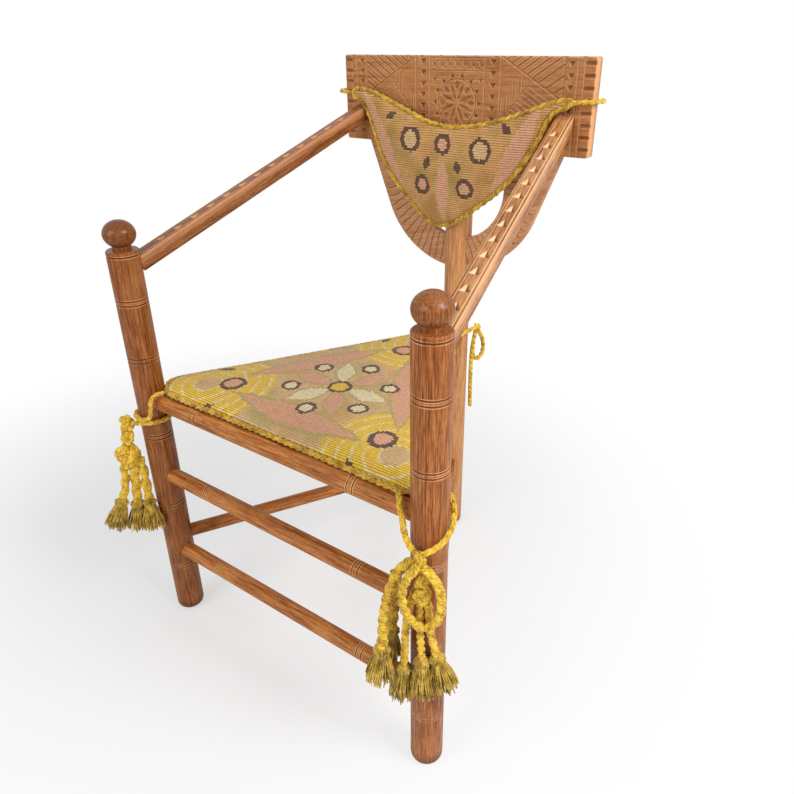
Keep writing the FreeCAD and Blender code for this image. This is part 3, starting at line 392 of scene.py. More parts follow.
for step in range(14):
    turn = math.pi / 2 + (step - 6.5) * 2 * math.pi / 14
    carving.chip(41.5 * math.cos(turn), ROSETTE_UP + 41.5 * math.sin(turn), 11, 10, 3.0, turn + math.pi / 2)
for side in (-1, 1):
    for z in (866, 800, 775):
        carving.chip(side * 42, z, 9, 8, 2.2, 0)
    for start, stop in ((790, 776), (780, 769)):
        carving.groove(side * 48, start, side * 10, stop, 2, 0.9)
bite = np.zeros_like(across)
for spot in (-206, -178, -147, -122, -97, -67, -31, 0, 31, 67, 97, 122, 147, 178, 206):
    bite = np.maximum(bite, np.clip(1 - np.abs(across - spot) / 5.2, 0, 1) * np.clip((up - 897.5) / 3.5, 0,
            1))
carving.cut(2.4 * bite)
depth = carving.depth
# worn: the ridges between cuts and the board's front edges, paler as rubbed wear and painted highlight
bend = depth[1:-1, 1:-1] * 4 - depth[2:, 1:-1] - depth[:-2, 1:-1] - depth[1:-1, 2:] - depth[1:-1, :-2]
worn = np.zeros_like(depth)
worn[1:-1, 1:-1] = np.clip(-bend * 0.55, 0, 0.55)
edge_off = np.minimum(np.minimum(across - CREST_LEFT, CREST_RIGHT - across),
                      np.minimum(up - CREST_LOW, CREST_HIGH - up))
worn = np.maximum(worn, np.clip(1 - edge_off / 1.6, 0, 0.85))
tooling = 0.22 * np.sin(across * 0.31 + 2.0 * np.sin(up * 0.09))
tooling *= np.sin(up * 0.55 + np.sin(across * 0.05) * 2)
face = CREST_FACE + np.clip(depth + 0.15 * tooling, -0.1, None) + 1.1 * np.clip(1 - edge_off / 1.5, 0,
        1) ** 2
for cx, sx in ((CREST_LEFT + CREST_ROUND, -1), (CREST_RIGHT - CREST_ROUND, 1)):
    for cz, sz in ((CREST_LOW + CREST_ROUND, -1), (CREST_HIGH - CREST_ROUND, 1)):
        dx, dz = (across - cx) * sx, (up - cz) * sz
        corner = (dx > 0) & (dz > 0)
        squeeze = np.where(corner, np.maximum(dx, dz) / np.maximum(np.hypot(dx, dz), 1e-6), 1)
        across = np.where(corner, cx + (across - cx) * squeeze, across)
        up = np.where(corner, cz + (up - cz) * squeeze, up)
count_z, count_x = across.shape
front_face = np.stack([across, face, up], -1).reshape(-1, 3)
index = np.arange(count_z * count_x).reshape(count_z, count_x)
quads = np.stack([index[:-1, :-1], index[:-1, 1:], index[1:, 1:], index[1:, :-1]], -1).reshape(-1,
        4).tolist()
rim = np.concatenate([index[0, :], index[1:, -1], index[-1, -2::-1], index[-2:0:-1, 0]])
levels = [-18.6, -10.0, -1.2, 0.0]
points, rings_made = [front_face], [rim]
for level in levels:
    ring_points = front_face[rim].copy()
    ring_points[:, 1] = level
    if level == 0.0:
        middle = np.array([0.0, 0.0, 834.0])
        inward = np.sign(middle - ring_points) * np.array([1.0, 0, 1.0])
        ring_points += inward * 1.0
    rings_made.append(len(front_face) + (len(rings_made) - 1) * len(rim) + np.arange(len(rim)))
    points.append(ring_points)
for first, second in zip(rings_made, rings_made[1:]):
    for step in range(len(rim)):
        after = (step + 1) % len(rim)
        quads.append([int(first[after]), int(first[step]), int(second[step]), int(second[after])])
last = rings_made[-1]
bottom = last[:count_x]
top = last[count_x + count_z - 2:2 * count_x + count_z - 2]
for step in range(1, count_x - 2):
    quads.append([int(bottom[step + 1]), int(bottom[step]), int(top[count_x - 1 - step]),
                  int(top[count_x - 2 - step])])
quads.append([int(i) for i in (list(last[count_x - 2:count_x + count_z])[::-1])])
quads.append([int(i) for i in ([last[1], last[0]] + list(last[2 * count_x + count_z - 4:][::-1]))])


def solid_mesh(name, points, faces, material):
    mesh = bpy.data.meshes.new(name)
    mesh.from_pydata([tuple(p) for p in points], [], faces)
    mesh.validate()
    mesh.materials.append(material)
    mesh.polygons.foreach_set("use_smooth", [True] * len(mesh.polygons))
    mesh.update()
    return linked(name, mesh)


def paint(mesh, name, values):
    layer = mesh.attributes.new(name, "FLOAT", "POINT")
    layer.data.foreach_set("value", np.asarray(values, dtype=np.float32))


crest_oak = oak("crest_oak", (1, 0, 0), (0.22, 0.065, 0.013), (0.45, 0.172, 0.046), (0.62, 0.29, 0.11),
                carved=True, gloss=0.46, streak_scale=200.0)
all_points = np.concatenate(points) / 1000
crest = solid_mesh("crest_carved", all_points, quads, crest_oak)
rest = len(all_points) - depth.size
# carved darkens the cuts as painted shade; worn, also on the edge faces, is paler: rubbed wear and painted
# highlight
paint(crest.data, "carved", np.concatenate([np.clip(depth.ravel() / 2.0, 0, 1), np.zeros(rest)]))
rubbed = len(rim) * 2
paint(crest.data, "worn", np.concatenate([worn.ravel(), np.full(rubbed, 0.75), np.zeros(rest - rubbed)]))
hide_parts("crest_board")
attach(crest, "root")

# Each arm is a square oak bar that rises from the front post to the face of the crest. Its top has a row of
# triangular chips between two scribed lines, and its corners are rubbed pale.

# the left arm's tones are much darker than the right arm's, as painted shade
ARM_TONES_LEFT_SHADED = {"left": ((0.045, 0.010, 0.002), (0.24, 0.072, 0.016), (0.56, 0.24, 0.09)),
             "right": ((0.13, 0.036, 0.007), (0.44, 0.165, 0.045), (0.80, 0.42, 0.19))}
ARM_STEPS, ARM_COLUMNS, ARM_HALF, ARM_TOP, ARM_START = 420, 33, 12.5, 11.0, 20.0
ARM_UNDER = [(12.5, 9.8), (12.5, 0.0), (12.5, -10.4), (11.9, -11.0), (-11.9, -11.0), (-12.5, -10.4),
             (-12.5, 0.0), (-12.5, 9.8)]
ARM_RUB = [0.6, 0, 0, 0.3, 0.3, 0, 0, 0.6]
for side, sign in (("left", -1), ("right", 1)):
    low, high = Vector((sign * POST_ACROSS, POST_FORWARD, 633.0)), Vector((sign * 186.2, -20.0, 813.0))
    forward = (high - low).normalized()
    level = Vector((-forward.y, forward.x, 0)).normalized()
    upward = forward.cross(level)
    run = (high - low).length
    rows, columns = np.linspace(0, 1, ARM_STEPS), np.linspace(-ARM_HALF, ARM_HALF, ARM_COLUMNS)
    share, width_way = np.meshgrid(rows, columns, indexing="ij")
    spots = ARM_START + share * (run - ARM_START)
    arm_cut = Carving(width_way, spots)
    for step in range(13):
        arm_cut.chip(0, 69.7 + 31.4 * step, 15.0, 15.0, 5.0, math.pi)
    for line in (-9.7, 9.7):
        arm_cut.groove(line, 20, line, 520, 2.2, 1.6)
    facet = np.gradient(arm_cut.depth, axis=1) / (width_way[0, 1] - width_way[0, 0]) * -1
    off_edge = ARM_HALF - np.abs(width_way)
    top_height = ARM_TOP - arm_cut.depth - 0.9 * np.clip(1 - off_edge / 0.9, 0, 1) ** 2
    section_points, carved, worn = [], [], []
    for row in range(ARM_STEPS):
        for across_bar, above in list(zip(width_way[row], top_height[row])) + ARM_UNDER:
            origin = low + level * across_bar + upward * above
            stop = (CREST_FACE - origin.y) / forward.y
            section_points.append(origin + forward * (ARM_START + share[row, 0] * (stop - ARM_START)))
        # the cut depth is painted as shade in the chips and scribed lines
        carved += list(np.clip(arm_cut.depth[row] / 2.4, 0, 1)) + [0] * len(ARM_RUB)
        # worn: rubbed wear at the corners, and painted highlight on a line inside each scribed line and on
        # one facet of each chip
        aside = np.abs(width_way[row])
        rub_and_highlight = 0.8 * np.clip(1 - off_edge[row] / 1.2, 0, 1)
        rub_and_highlight = np.maximum(rub_and_highlight, 0.9 * np.clip(1.3 - np.abs(aside - 8.2) / 0.7, 0, 1))
        rub_and_highlight = np.maximum(rub_and_highlight, 0.9 * np.clip(facet[row] * 1.6 - 0.5, 0, 1) * (aside < 8))
        worn += list(rub_and_highlight) + ARM_RUB
    size = ARM_COLUMNS + len(ARM_UNDER)
    faces = []
    for row in range(0, (ARM_STEPS - 1) * size, size):
        for col in range(size):
            after = (col + 1) % size
            faces.append([row + after, row + col, row + size + col, row + size + after])
    faces.append(list(range(size)))
    faces.append([(ARM_STEPS - 1) * size + col for col in range(size)][::-1])
    bar = solid_mesh(side + "_arm_carved", [p / 1000 for p in section_points], faces,
                     oak(side + "_arm_oak", tuple(forward), *ARM_TONES_LEFT_SHADED[side],
                         carved=True, gloss=0.27, streak_scale=320.0))
    paint(bar.data, "carved", carved)
    paint(bar.data, "worn", worn)
    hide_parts(side + "_arm")
    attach(bar, "root")

# The seat cushion is a thin three-cornered pad, its top worked in wool needlepoint on canvas and its
# underside in plain cloth. It lies on the seat board. The worked design is a plain rosette with fans,
# rounds and bands.

# edge lines are walked anticlockwise seen from the worked side
SEAT_EDGE = [
    (-0.206, -0.4805), (-0.110, -0.4785), (0.0, -0.4775), (0.110, -0.4785), (0.206, -0.4805),
    (0.226, -0.477), (0.247, -0.460), (0.2545, -0.445), (0.246, -0.423), (0.184, -0.3215),
    (0.1135, -0.1995), (0.0335, -0.061), (0.022, -0.036), (0.011, -0.031), (-0.011, -0.031),
    (-0.022, -0.036), (-0.0335, -0.061), (-0.1135, -0.1995), (-0.184, -0.3215), (-0.246, -0.423),
    (-0.2545, -0.445), (-0.247, -0.460), (-0.226, -0.477)]


def spline_points(name, points, closed=False):
    """The smooth line that has these control points, as points in order."""
    line = bpy.data.curves.new(name, "CURVE")
    line.dimensions = "3D"
    strand = line.splines.new("NURBS")
    strand.points.add(len(points) - 1)
    for spot, place in zip(strand.points, points):
        spot.co = (*place, 1)
    strand.order_u = 3
    if closed:
        strand.use_cyclic_u = True
    else:
        strand.use_endpoint_u = True
    line.resolution_u = 10
    holder = linked(name, line)
    made = bpy.data.meshes.new_from_object(holder.evaluated_get(bpy.context.evaluated_depsgraph_get()))
    spots = [Vector(v.co) for v in made.vertices]
    bpy.data.objects.remove(holder)
    bpy.data.meshes.remove(made)
    return spots


def applied(piece):
    """Turns the piece with its modifiers into a plain mesh."""
    made = bpy.data.meshes.new_from_object(piece.evaluated_get(bpy.context.evaluated_depsgraph_get()))
    piece.modifiers.clear()
    piece.data = made
    return piece


def stuffed(name, edge, place, layers, seam_depth, material, voxel, swell, cap, limit):
    """A pad: a prism over the edge line, closed up, blown out by cloth simulation and held at its limit."""
    count = len(edge)
    inward = []
    for step in range(count):
        along = (edge[(step + 1) % count] - edge[step - 1]).normalized()
        inward.append(Vector((-along.y, along.x)))
    points, faces = [], []
    for depth, inset in layers:
        points += [place(edge[step] + inward[step] * inset, depth) for step in range(count)]
    for ring in range(len(layers) - 1):
        for step in range(count):
            after = (step + 1) % count
            faces.append([ring * count + step, ring * count + after, (ring + 1) * count + after,
                          (ring + 1) * count + step])
    faces.append(list(range(count))[::-1])
    faces.append([(len(layers) - 1) * count + step for step in range(count)])
    piece = solid_mesh(name, points, faces, material)
    grid = piece.modifiers.new("Remesh", "REMESH")
    grid.mode = "VOXEL"
    grid.voxel_size = voxel
    grid.use_smooth_shade = True
    applied(piece)
    soften = piece.modifiers.new("Smooth", "SMOOTH")
    soften.factor, soften.iterations = 0.5, 2
    applied(piece)
    seam = piece.vertex_groups.new(name="seam")
    line = np.array([tuple(place(spot, seam_depth)) for spot in edge])
    for vertex in piece.data.vertices:
        if np.min(np.linalg.norm(line - np.array(vertex.co), axis=1)) < 1.1 * voxel:
            seam.add([vertex.index], 1.0, "REPLACE")
    start = np.array([tuple(v.co) for v in piece.data.vertices])
    cloth = piece.modifiers.new("Cloth", "CLOTH")
    cloth.settings.quality = 6
    cloth.settings.mass = 0.25
    cloth.settings.tension_stiffness = 12
    cloth.settings.compression_stiffness = 12
    cloth.settings.shear_stiffness = 6
    cloth.settings.bending_stiffness = 0.3
    cloth.settings.vertex_group_mass = "seam"
    cloth.settings.use_pressure = True
    cloth.settings.uniform_pressure_force = swell
    cloth.settings.effector_weights.gravity = 0
    cloth.point_cache.frame_start, cloth.point_cache.frame_end = 1, 20
    for moment in range(1, 21):
        bpy.context.scene.frame_set(moment)
    applied(piece)
    bpy.context.scene.frame_set(1)
    after = np.array([tuple(v.co) for v in piece.data.vertices])
    shift = after - start
    far = np.linalg.norm(shift, axis=1, keepdims=True)
    after = start + shift * np.minimum(1, cap / np.maximum(far, 1e-9))
    piece.data.vertices.foreach_set("co", after.ravel())
    spots = np.array([tuple(v.co) for v in piece.data.vertices])
    piece.data.vertices.foreach_set("co", limit(spots).ravel())
    finer = piece.modifiers.new("Subdivision", "SUBSURF")
    finer.levels = finer.render_levels = 1
    applied(piece)
    piece.data.polygons.foreach_set("use_smooth", [True] * len(piece.data.polygons))
    piece.data.update()
    return piece


# a round with a dark outline, and a long pointed petal, each drawn on the canvas
round_motif, gin, gout = node_group(
    "round_motif", [("Vector", ARROW, None), ("Middle", ARROW, None),
                    ("Radius", NUMBER, 0.02), ("Line", NUMBER, 0.003), ("Waver", NUMBER, 0.0)],
    [("Outline", NUMBER), ("Inside", NUMBER)])
tree = round_motif
away = add(tree, "ShaderNodeVectorMath", {0: gin["Vector"], 1: gin["Middle"]}, operation="SUBTRACT")
away = add(tree, "ShaderNodeVectorMath", {0: away.outputs[0]}, operation="LENGTH").outputs["Value"]
away = plus(tree, away, gin["Waver"])
tree.links.new(calc(tree, "COMPARE", away, gin["Radius"], gin["Line"]), gout["Outline"])
tree.links.new(calc(tree, "LESS_THAN", away, gin["Radius"]), gout["Inside"])

petal_motif, gin, gout = node_group(
    "petal_motif", [("Vector", ARROW, None), ("Middle", ARROW, None), ("Turn", NUMBER, 0.0),
                    ("Length", NUMBER, 0.05), ("Breadth", NUMBER, 0.015), ("Waver", NUMBER, 0.0)],
    [("Petal", NUMBER), ("Rim", NUMBER)])
tree = petal_motif
away = add(tree, "ShaderNodeVectorMath", {0: gin["Vector"], 1: gin["Middle"]}, operation="SUBTRACT")
turned = add(tree, "ShaderNodeVectorRotate", {"Vector": away.outputs[0], "Angle": gin["Turn"]},
             rotation_type="Z_AXIS")
apart = add(tree, "ShaderNodeSeparateXYZ", {0: turned.outputs[0]})
lengthways = calc(tree, "DIVIDE", calc(tree, "ABSOLUTE", apart.outputs[0]), gin["Length"])
sideways = calc(tree, "DIVIDE", calc(tree, "ABSOLUTE", apart.outputs[1]), gin["Breadth"])
shape = plus(tree, plus(tree, sideways, calc(tree, "POWER", lengthways, 1.6)), gin["Waver"])
tree.links.new(calc(tree, "LESS_THAN", shape, 1.0), gout["Petal"])
tree.links.new(calc(tree, "COMPARE", shape, 1.08, 0.14), gout["Rim"])

# snaps a place to the canvas stitches, and gives the hollow between rows and each stitch's own shade
canvas_stitch, gin, gout = node_group(
    "canvas_stitch", [("Vector", ARROW, None), ("Row", NUMBER, 0.0036), ("Stitch", NUMBER, 0.0028)],
    [("Vector", ARROW), ("Shade", NUMBER), ("Hollow", NUMBER), ("Waver", NUMBER)])
tree = canvas_stitch
apart = add(tree, "ShaderNodeSeparateXYZ", {0: gin["Vector"]})
row_place = calc(tree, "DIVIDE", apart.outputs[1], gin["Row"])
row_number = calc(tree, "FLOOR", row_place)
stitch_place = plus(tree, calc(tree, "DIVIDE", apart.outputs[0], gin["Stitch"]),
                    times(tree, row_number, 0.5))
stitch_number = calc(tree, "FLOOR", stitch_place)
snapped_along = times(tree, minus(tree, stitch_number, times(tree, row_number, 0.5)), gin["Stitch"])
snapped = add(tree, "ShaderNodeCombineXYZ",
              {0: snapped_along, 1: times(tree, row_number, gin["Row"]), 2: 0.0})
tree.links.new(snapped.outputs[0], gout["Vector"])
own = add(tree, "ShaderNodeTexWhiteNoise", {"Vector": snapped.outputs[0]}, noise_dimensions="3D")
tree.links.new(own.outputs["Value"], gout["Shade"])
row_dip = calc(tree, "ABSOLUTE", minus(tree, calc(tree, "FRACT", row_place), 0.5))
stitch_dip = calc(tree, "ABSOLUTE", minus(tree, calc(tree, "FRACT", stitch_place), 0.5))
stitch_hollow = times(tree, span(tree, stitch_dip, 0.36, 0.5), 0.45)
tree.links.new(calc(tree, "MAXIMUM", span(tree, row_dip, 0.3, 0.5), stitch_hollow), gout["Hollow"])
tree.links.new(minus(tree, noise(tree, snapped.outputs[0], 60.0, 2.0), 0.5), gout["Waver"])

GOLD, OCHRE, OLIVE = (0.96, 0.62, 0.05), (0.72, 0.44, 0.15), (0.58, 0.45, 0.16)
PINK, CREAM, PLUM, TAN = (0.86, 0.44, 0.27), (0.95, 0.83, 0.50), (0.10, 0.05, 0.045), (0.82, 0.54, 0.27)


class Canvas:
    """Needlepoint on a face. lay turns the face's place so that its rows run along X."""

    def __init__(self, name, lay, ground):
        self.material = bpy.data.materials.new(name)
        self.material.use_nodes = True
        self.tree = tree = self.material.node_tree
        self.surface = tree.nodes["Principled BSDF"]
        self.place = add(tree, "ShaderNodeTexCoord").outputs["Object"]
        self.flat = add(tree, "ShaderNodeMapping", {"Vector": self.place, "Rotation": lay}).outputs[0]
        self.stitch = add(tree, "ShaderNodeGroup", node_tree=canvas_stitch)
        tree.links.new(self.flat, self.stitch.inputs["Vector"])
        self.spot = self.stitch.outputs["Vector"]
        self.colour = ramp(tree, noise(tree, self.spot, 13.0, 2.0), ground)

    def waver(self, amount):
        return times(self.tree, self.stitch.outputs["Waver"], amount)

    def lay(self, mask, colour, strength=1.0):
        tree = self.tree
        if strength != 1.0:
            mask = times(tree, mask, strength)
        self.colour = tint(tree, mask, self.colour, colour)

    def round(self, x, y, radius, line, outline, inside):
        tree = self.tree
        feeds = {"Vector": self.spot, "Middle": (x, y, 0), "Radius": radius, "Line": line,
                 "Waver": self.waver(0.006)}
        item = add(tree, "ShaderNodeGroup", feeds, node_tree=round_motif)
        self.lay(item.outputs["Inside"], inside)
        self.lay(item.outputs["Outline"], outline)

    def petal(self, x, y, turn, length, breadth, colour, rim=None):
        tree = self.tree
        feeds = {"Vector": self.spot, "Middle": (x, y, 0), "Turn": -turn, "Length": length,
                 "Breadth": breadth, "Waver": self.waver(0.5)}
        item = add(tree, "ShaderNodeGroup", feeds, node_tree=petal_motif)
        if rim:
            self.lay(item.outputs["Rim"], rim)
        self.lay(item.outputs["Petal"], colour)

    def fan(self, x, y, low, high, pitch, colour, line_colour):
        tree = self.tree
        away = add(tree, "ShaderNodeVectorMath", {0: self.spot, 1: (x, y, 0)},
                   operation="DISTANCE").outputs["Value"]
        away = plus(tree, away, self.waver(0.01))
        within = times(tree, calc(tree, "GREATER_THAN", away, low), calc(tree, "LESS_THAN", away, high))
        self.lay(within, colour)
        lines = calc(tree, "LESS_THAN", calc(tree, "FRACT", calc(tree, "DIVIDE", away, pitch)), 0.2)
        self.lay(times(tree, within, lines), line_colour, 0.75)

    def finish(self, axis, worked, plain):
        """The material, with plain lining past a place on an axis."""
        tree = self.tree
        lining = span(tree, add(tree, "ShaderNodeSeparateXYZ", {0: self.place}).outputs[axis], worked,
                      plain)
        shade = span(tree, self.stitch.outputs["Shade"], 0, 1, 0.0, 0.28, smooth=False)
        self.colour = tint(tree, shade, self.colour, (0.30, 0.20, 0.08))
        # painted shade darkens the hollows between rows and stitches
        hollow_shade = times(tree, self.stitch.outputs["Hollow"], 0.85)
        self.colour = tint(tree, hollow_shade, self.colour, (0.15, 0.07, 0.02))
        self.colour = tint(tree, lining, self.colour, (0.20, 0.13, 0.06))
        tree.links.new(self.colour, self.surface.inputs["Base Color"])
        self.surface.inputs["Roughness"].default_value = 0.9
        self.surface.inputs["Specular IOR Level"].default_value = 0.2
        self.surface.inputs["Sheen Weight"].default_value = 0.15
        height = minus(tree, 1.0, self.stitch.outputs["Hollow"])
        bump = add(tree, "ShaderNodeBump", {"Strength": 0.7, "Distance": 0.0009, "Height": height})
        tree.links.new(bump.outputs[0], self.surface.inputs["Normal"])
        return self.material


SEAT_MIDDLE = -0.335
seat_canvas = Canvas("seat_needlework", (0, 0, 0), [(0.35, OCHRE), (0.5, TAN), (0.65, OLIVE)])
for turn in (0, 1, 2):
    way = math.radians(90 + 120 * turn)
    x, y = 0.205 * math.cos(way), SEAT_MIDDLE + 0.205 * math.sin(way)
    seat_canvas.fan(x, y, 0.02, 0.105, 0.019, GOLD, CREAM)
for turn in (0, 1, 2):
    way = math.radians(30 + 120 * turn)
    seat_canvas.petal(0.10 * math.cos(way), SEAT_MIDDLE + 0.10 * math.sin(way), way + math.pi / 2, 0.11,
                      0.022, PINK, OLIVE)
for turn in range(6):
    way = math.radians(60 * turn)
    seat_canvas.petal(0.05 * math.cos(way), SEAT_MIDDLE + 0.05 * math.sin(way), way, 0.034, 0.015,
                      PINK if turn % 2 else CREAM, OLIVE)
    way += math.radians(30)
    seat_canvas.round(0.075 * math.cos(way), SEAT_MIDDLE + 0.075 * math.sin(way), 0.0125, 0.0028, PLUM,
                      CREAM)
seat_canvas.round(0, SEAT_MIDDLE, 0.016, 0.003, PLUM, GOLD)
for turn in (0, 1, 2):
    way = math.radians(90 + 120 * turn)
    seat_canvas.round(0.165 * math.cos(way), SEAT_MIDDLE + 0.165 * math.sin(way), 0.0165, 0.0036, PLUM,
                      PINK)
    for lean in (-17, 17):
        way_off = way + math.radians(lean)
        seat_canvas.petal(0.205 * math.cos(way_off), SEAT_MIDDLE + 0.205 * math.sin(way_off), way_off, 0.02,
                          0.007, PLUM)
seat_needlework = seat_canvas.finish(2, 0.4455, 0.4445)

seat_rim = [Vector((p.x, p.y)) for p in spline_points("seat_rim", [(x, y, 0) for x, y in SEAT_EDGE], True)]


def seat_limit(spots):
    spots[:, 2] = np.clip(spots[:, 2], 0.4409, 0.4625)
    return spots


seat_pad = stuffed("seat_pad", seat_rim, lambda flat, depth: (flat.x, flat.y, depth),
                   [(0.4412, 0.009), (0.4453, 0.0), (0.4500, 0.003), (0.4535, 0.011)], 0.4453,
                   seat_needlework, 0.005, 4.0, 0.007, seat_limit)
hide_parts("seat_cushion")
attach(seat_pad, "root")

# The back cushion is the same work on a smaller pad with two long tips. It hangs flat on the crest and
# the rear post from cords at its tips, and its top edge sags between them.

BACK_EDGE = [
    (-0.022, 0.640), (0.002, 0.643), (0.049, 0.676), (0.101, 0.716), (0.147, 0.778), (0.169, 0.831),
    (0.196, 0.836), (0.199, 0.848), (0.158, 0.837), (0.111, 0.819), (0.043, 0.800), (-0.031, 0.797),
    (-0.110, 0.829), (-0.170, 0.850), (-0.199, 0.848), (-0.197, 0.836), (-0.171, 0.831), (-0.134, 0.732),
    (-0.092, 0.686), (-0.045, 0.647)]
back_canvas = Canvas("back_needlework", (-math.pi / 2, 0, 0), [
    (0.36, (0.58, 0.30, 0.08)), (0.5, (0.78, 0.42, 0.16)), (0.66, (0.50, 0.31, 0.08))])
back_canvas.petal(-0.135, 0.775, math.radians(-62), 0.09, 0.014, PINK, None)
back_canvas.petal(0.115, 0.765, math.radians(62), 0.09, 0.014, PINK, None)
back_canvas.petal(-0.01, 0.70, math.radians(90), 0.05, 0.012, PINK, OLIVE)
for x, y, radius, inside in (
        (-0.075, 0.775, 0.0165, TAN), (0.058, 0.765, 0.0165, TAN), (-0.012, 0.772, 0.0125, PINK),
        (-0.05, 0.705, 0.0125, PINK), (0.032, 0.705, 0.0125, PINK)):
    back_canvas.round(x, y, radius, 0.0034, PLUM, inside)
for x, y, turn in ((-0.115, 0.81, 0.6), (0.10, 0.80, -0.6), (-0.04, 0.74, 1.2), (0.018, 0.738, -1.2)):
    back_canvas.petal(x, y, turn, 0.012, 0.006, PLUM)
back_needlework = back_canvas.finish(1, -0.0295, -0.0285)
back_rim = [Vector((p.x, p.y)) for p in spline_points("back_rim", [(x, y, 0) for x, y in BACK_EDGE], True)]


def back_limit(spots):
    spots[:, 1] = np.clip(spots[:, 1], -0.0475, -0.0237)
    return spots


back_pad = stuffed("back_pad", back_rim, lambda flat, depth: (flat.x, -depth, flat.y),
                   [(0.0243, 0.007), (0.0327, 0.0), (0.0360, 0.003), (0.0400, 0.010)], 0.0327,
                   back_needlework, 0.0045, 4.0, 0.007, back_limit)
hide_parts("back_cushion")
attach(back_pad, "root")

# Each cushion is edged with a soft cord of golden cotton, plaited from three strands and sewn along its
# seam. The plait follows the edge all the way round.


def stored(tree, geometry, title, value, kind="FLOAT"):
    """The geometry with the value kept on its points under a name."""
    store = add(tree, "GeometryNodeStoreNamedAttribute", {"Geometry": geometry, "Name": title},
                data_type=kind, domain="POINT")
    feed = next(socket for socket in store.inputs if socket.name == "Value" and socket.enabled)
    tree.links.new(value, feed)
    return store.outputs[0]


plait, pin, pout = node_group(
    "plaited_cord", [("Geometry", SHAPE, None), ("Strand radius", NUMBER, 0.0022),
                     ("Half width", NUMBER, 0.0021), ("Half thickness", NUMBER, 0.0012),
                     ("Turn length", NUMBER, 0.024), ("Lean", NUMBER, 0.6), ("Material", STUFF, None)],
    [("Geometry", SHAPE)], "GeometryNodeTree")
core = add(plait, "GeometryNodeMeshToCurve", {0: pin["Geometry"]})
core = add(plait, "GeometryNodeResampleCurve", {"Curve": core.outputs[0], "Length": 0.0013}, mode="LENGTH")
length = add(plait, "GeometryNodeCurveLength", {0: core.outputs[0]}).outputs[0]
turns = calc(plait, "MAXIMUM", calc(plait, "ROUND", calc(plait, "DIVIDE", length, pin["Turn length"])), 1.0)
along = add(plait, "GeometryNodeSplineParameter").outputs
phase = times(plait, times(plait, along["Factor"], turns), 2 * math.pi)
normal = add(plait, "GeometryNodeInputNormal").outputs[0]
tangent = add(plait, "GeometryNodeInputTangent").outputs[0]
wide_way = add(plait, "ShaderNodeVectorRotate", {"Vector": normal, "Axis": tangent, "Angle": pin["Lean"]},
               rotation_type="AXIS_ANGLE").outputs[0]
thick_way = add(plait, "ShaderNodeVectorMath", {0: tangent, 1: wide_way},
                operation="CROSS_PRODUCT").outputs[0]
gather = add(plait, "GeometryNodeJoinGeometry")
for strand in range(3):
    ahead = plus(plait, phase, strand * 2 * math.pi / 3)
    across = times(plait, calc(plait, "SINE", ahead), pin["Half width"])
    through = times(plait, calc(plait, "SINE", times(plait, ahead, 2.0)), pin["Half thickness"])
    wide = add(plait, "ShaderNodeVectorMath", {0: wide_way, "Scale": across}, operation="SCALE")
    thick = add(plait, "ShaderNodeVectorMath", {0: thick_way, "Scale": through}, operation="SCALE")
    both = add(plait, "ShaderNodeVectorMath", {0: wide.outputs[0], 1: thick.outputs[0]}, operation="ADD")
    moved = add(plait, "GeometryNodeSetPosition", {"Geometry": core.outputs[0], "Offset": both.outputs[0]})
    measured = stored(plait, moved.outputs[0], "along", along["Length"])
    ring = add(plait, "GeometryNodeCurvePrimitiveCircle", {"Resolution": 8, "Radius": 1.0})
    rounds = add(plait, "GeometryNodeInputPosition").outputs[0]
    noted = stored(plait, ring.outputs[0], "round", rounds, "FLOAT_VECTOR")
    size = add(plait, "ShaderNodeCombineXYZ", {0: pin["Strand radius"], 1: pin["Strand radius"], 2: 1.0})
    sized = add(plait, "GeometryNodeTransform", {"Geometry": noted, "Scale": size.outputs[0]})
    tube = add(plait, "GeometryNodeCurveToMesh", {"Curve": measured, "Profile Curve": sized.outputs[0],
                                                  "Fill Caps": True})
    plait.links.new(tube.outputs[0], gather.inputs[0])
real = add(plait, "GeometryNodeRealizeInstances", {0: gather.outputs[0]})
smooth = add(plait, "GeometryNodeSetShadeSmooth", {0: real.outputs[0]})
painted = add(plait, "GeometryNodeSetMaterial",
              {"Geometry": smooth.outputs[0], "Material": pin["Material"]})
plait.links.new(painted.outputs[0], pout[0])


def input_of(tree, title):
    """The name by which a modifier knows an input of its tree."""
    sockets = (item for item in tree.interface.items_tree if item.item_type == "SOCKET")
    return next(socket.identifier for socket in sockets if socket.in_out == "INPUT" and socket.name == title)


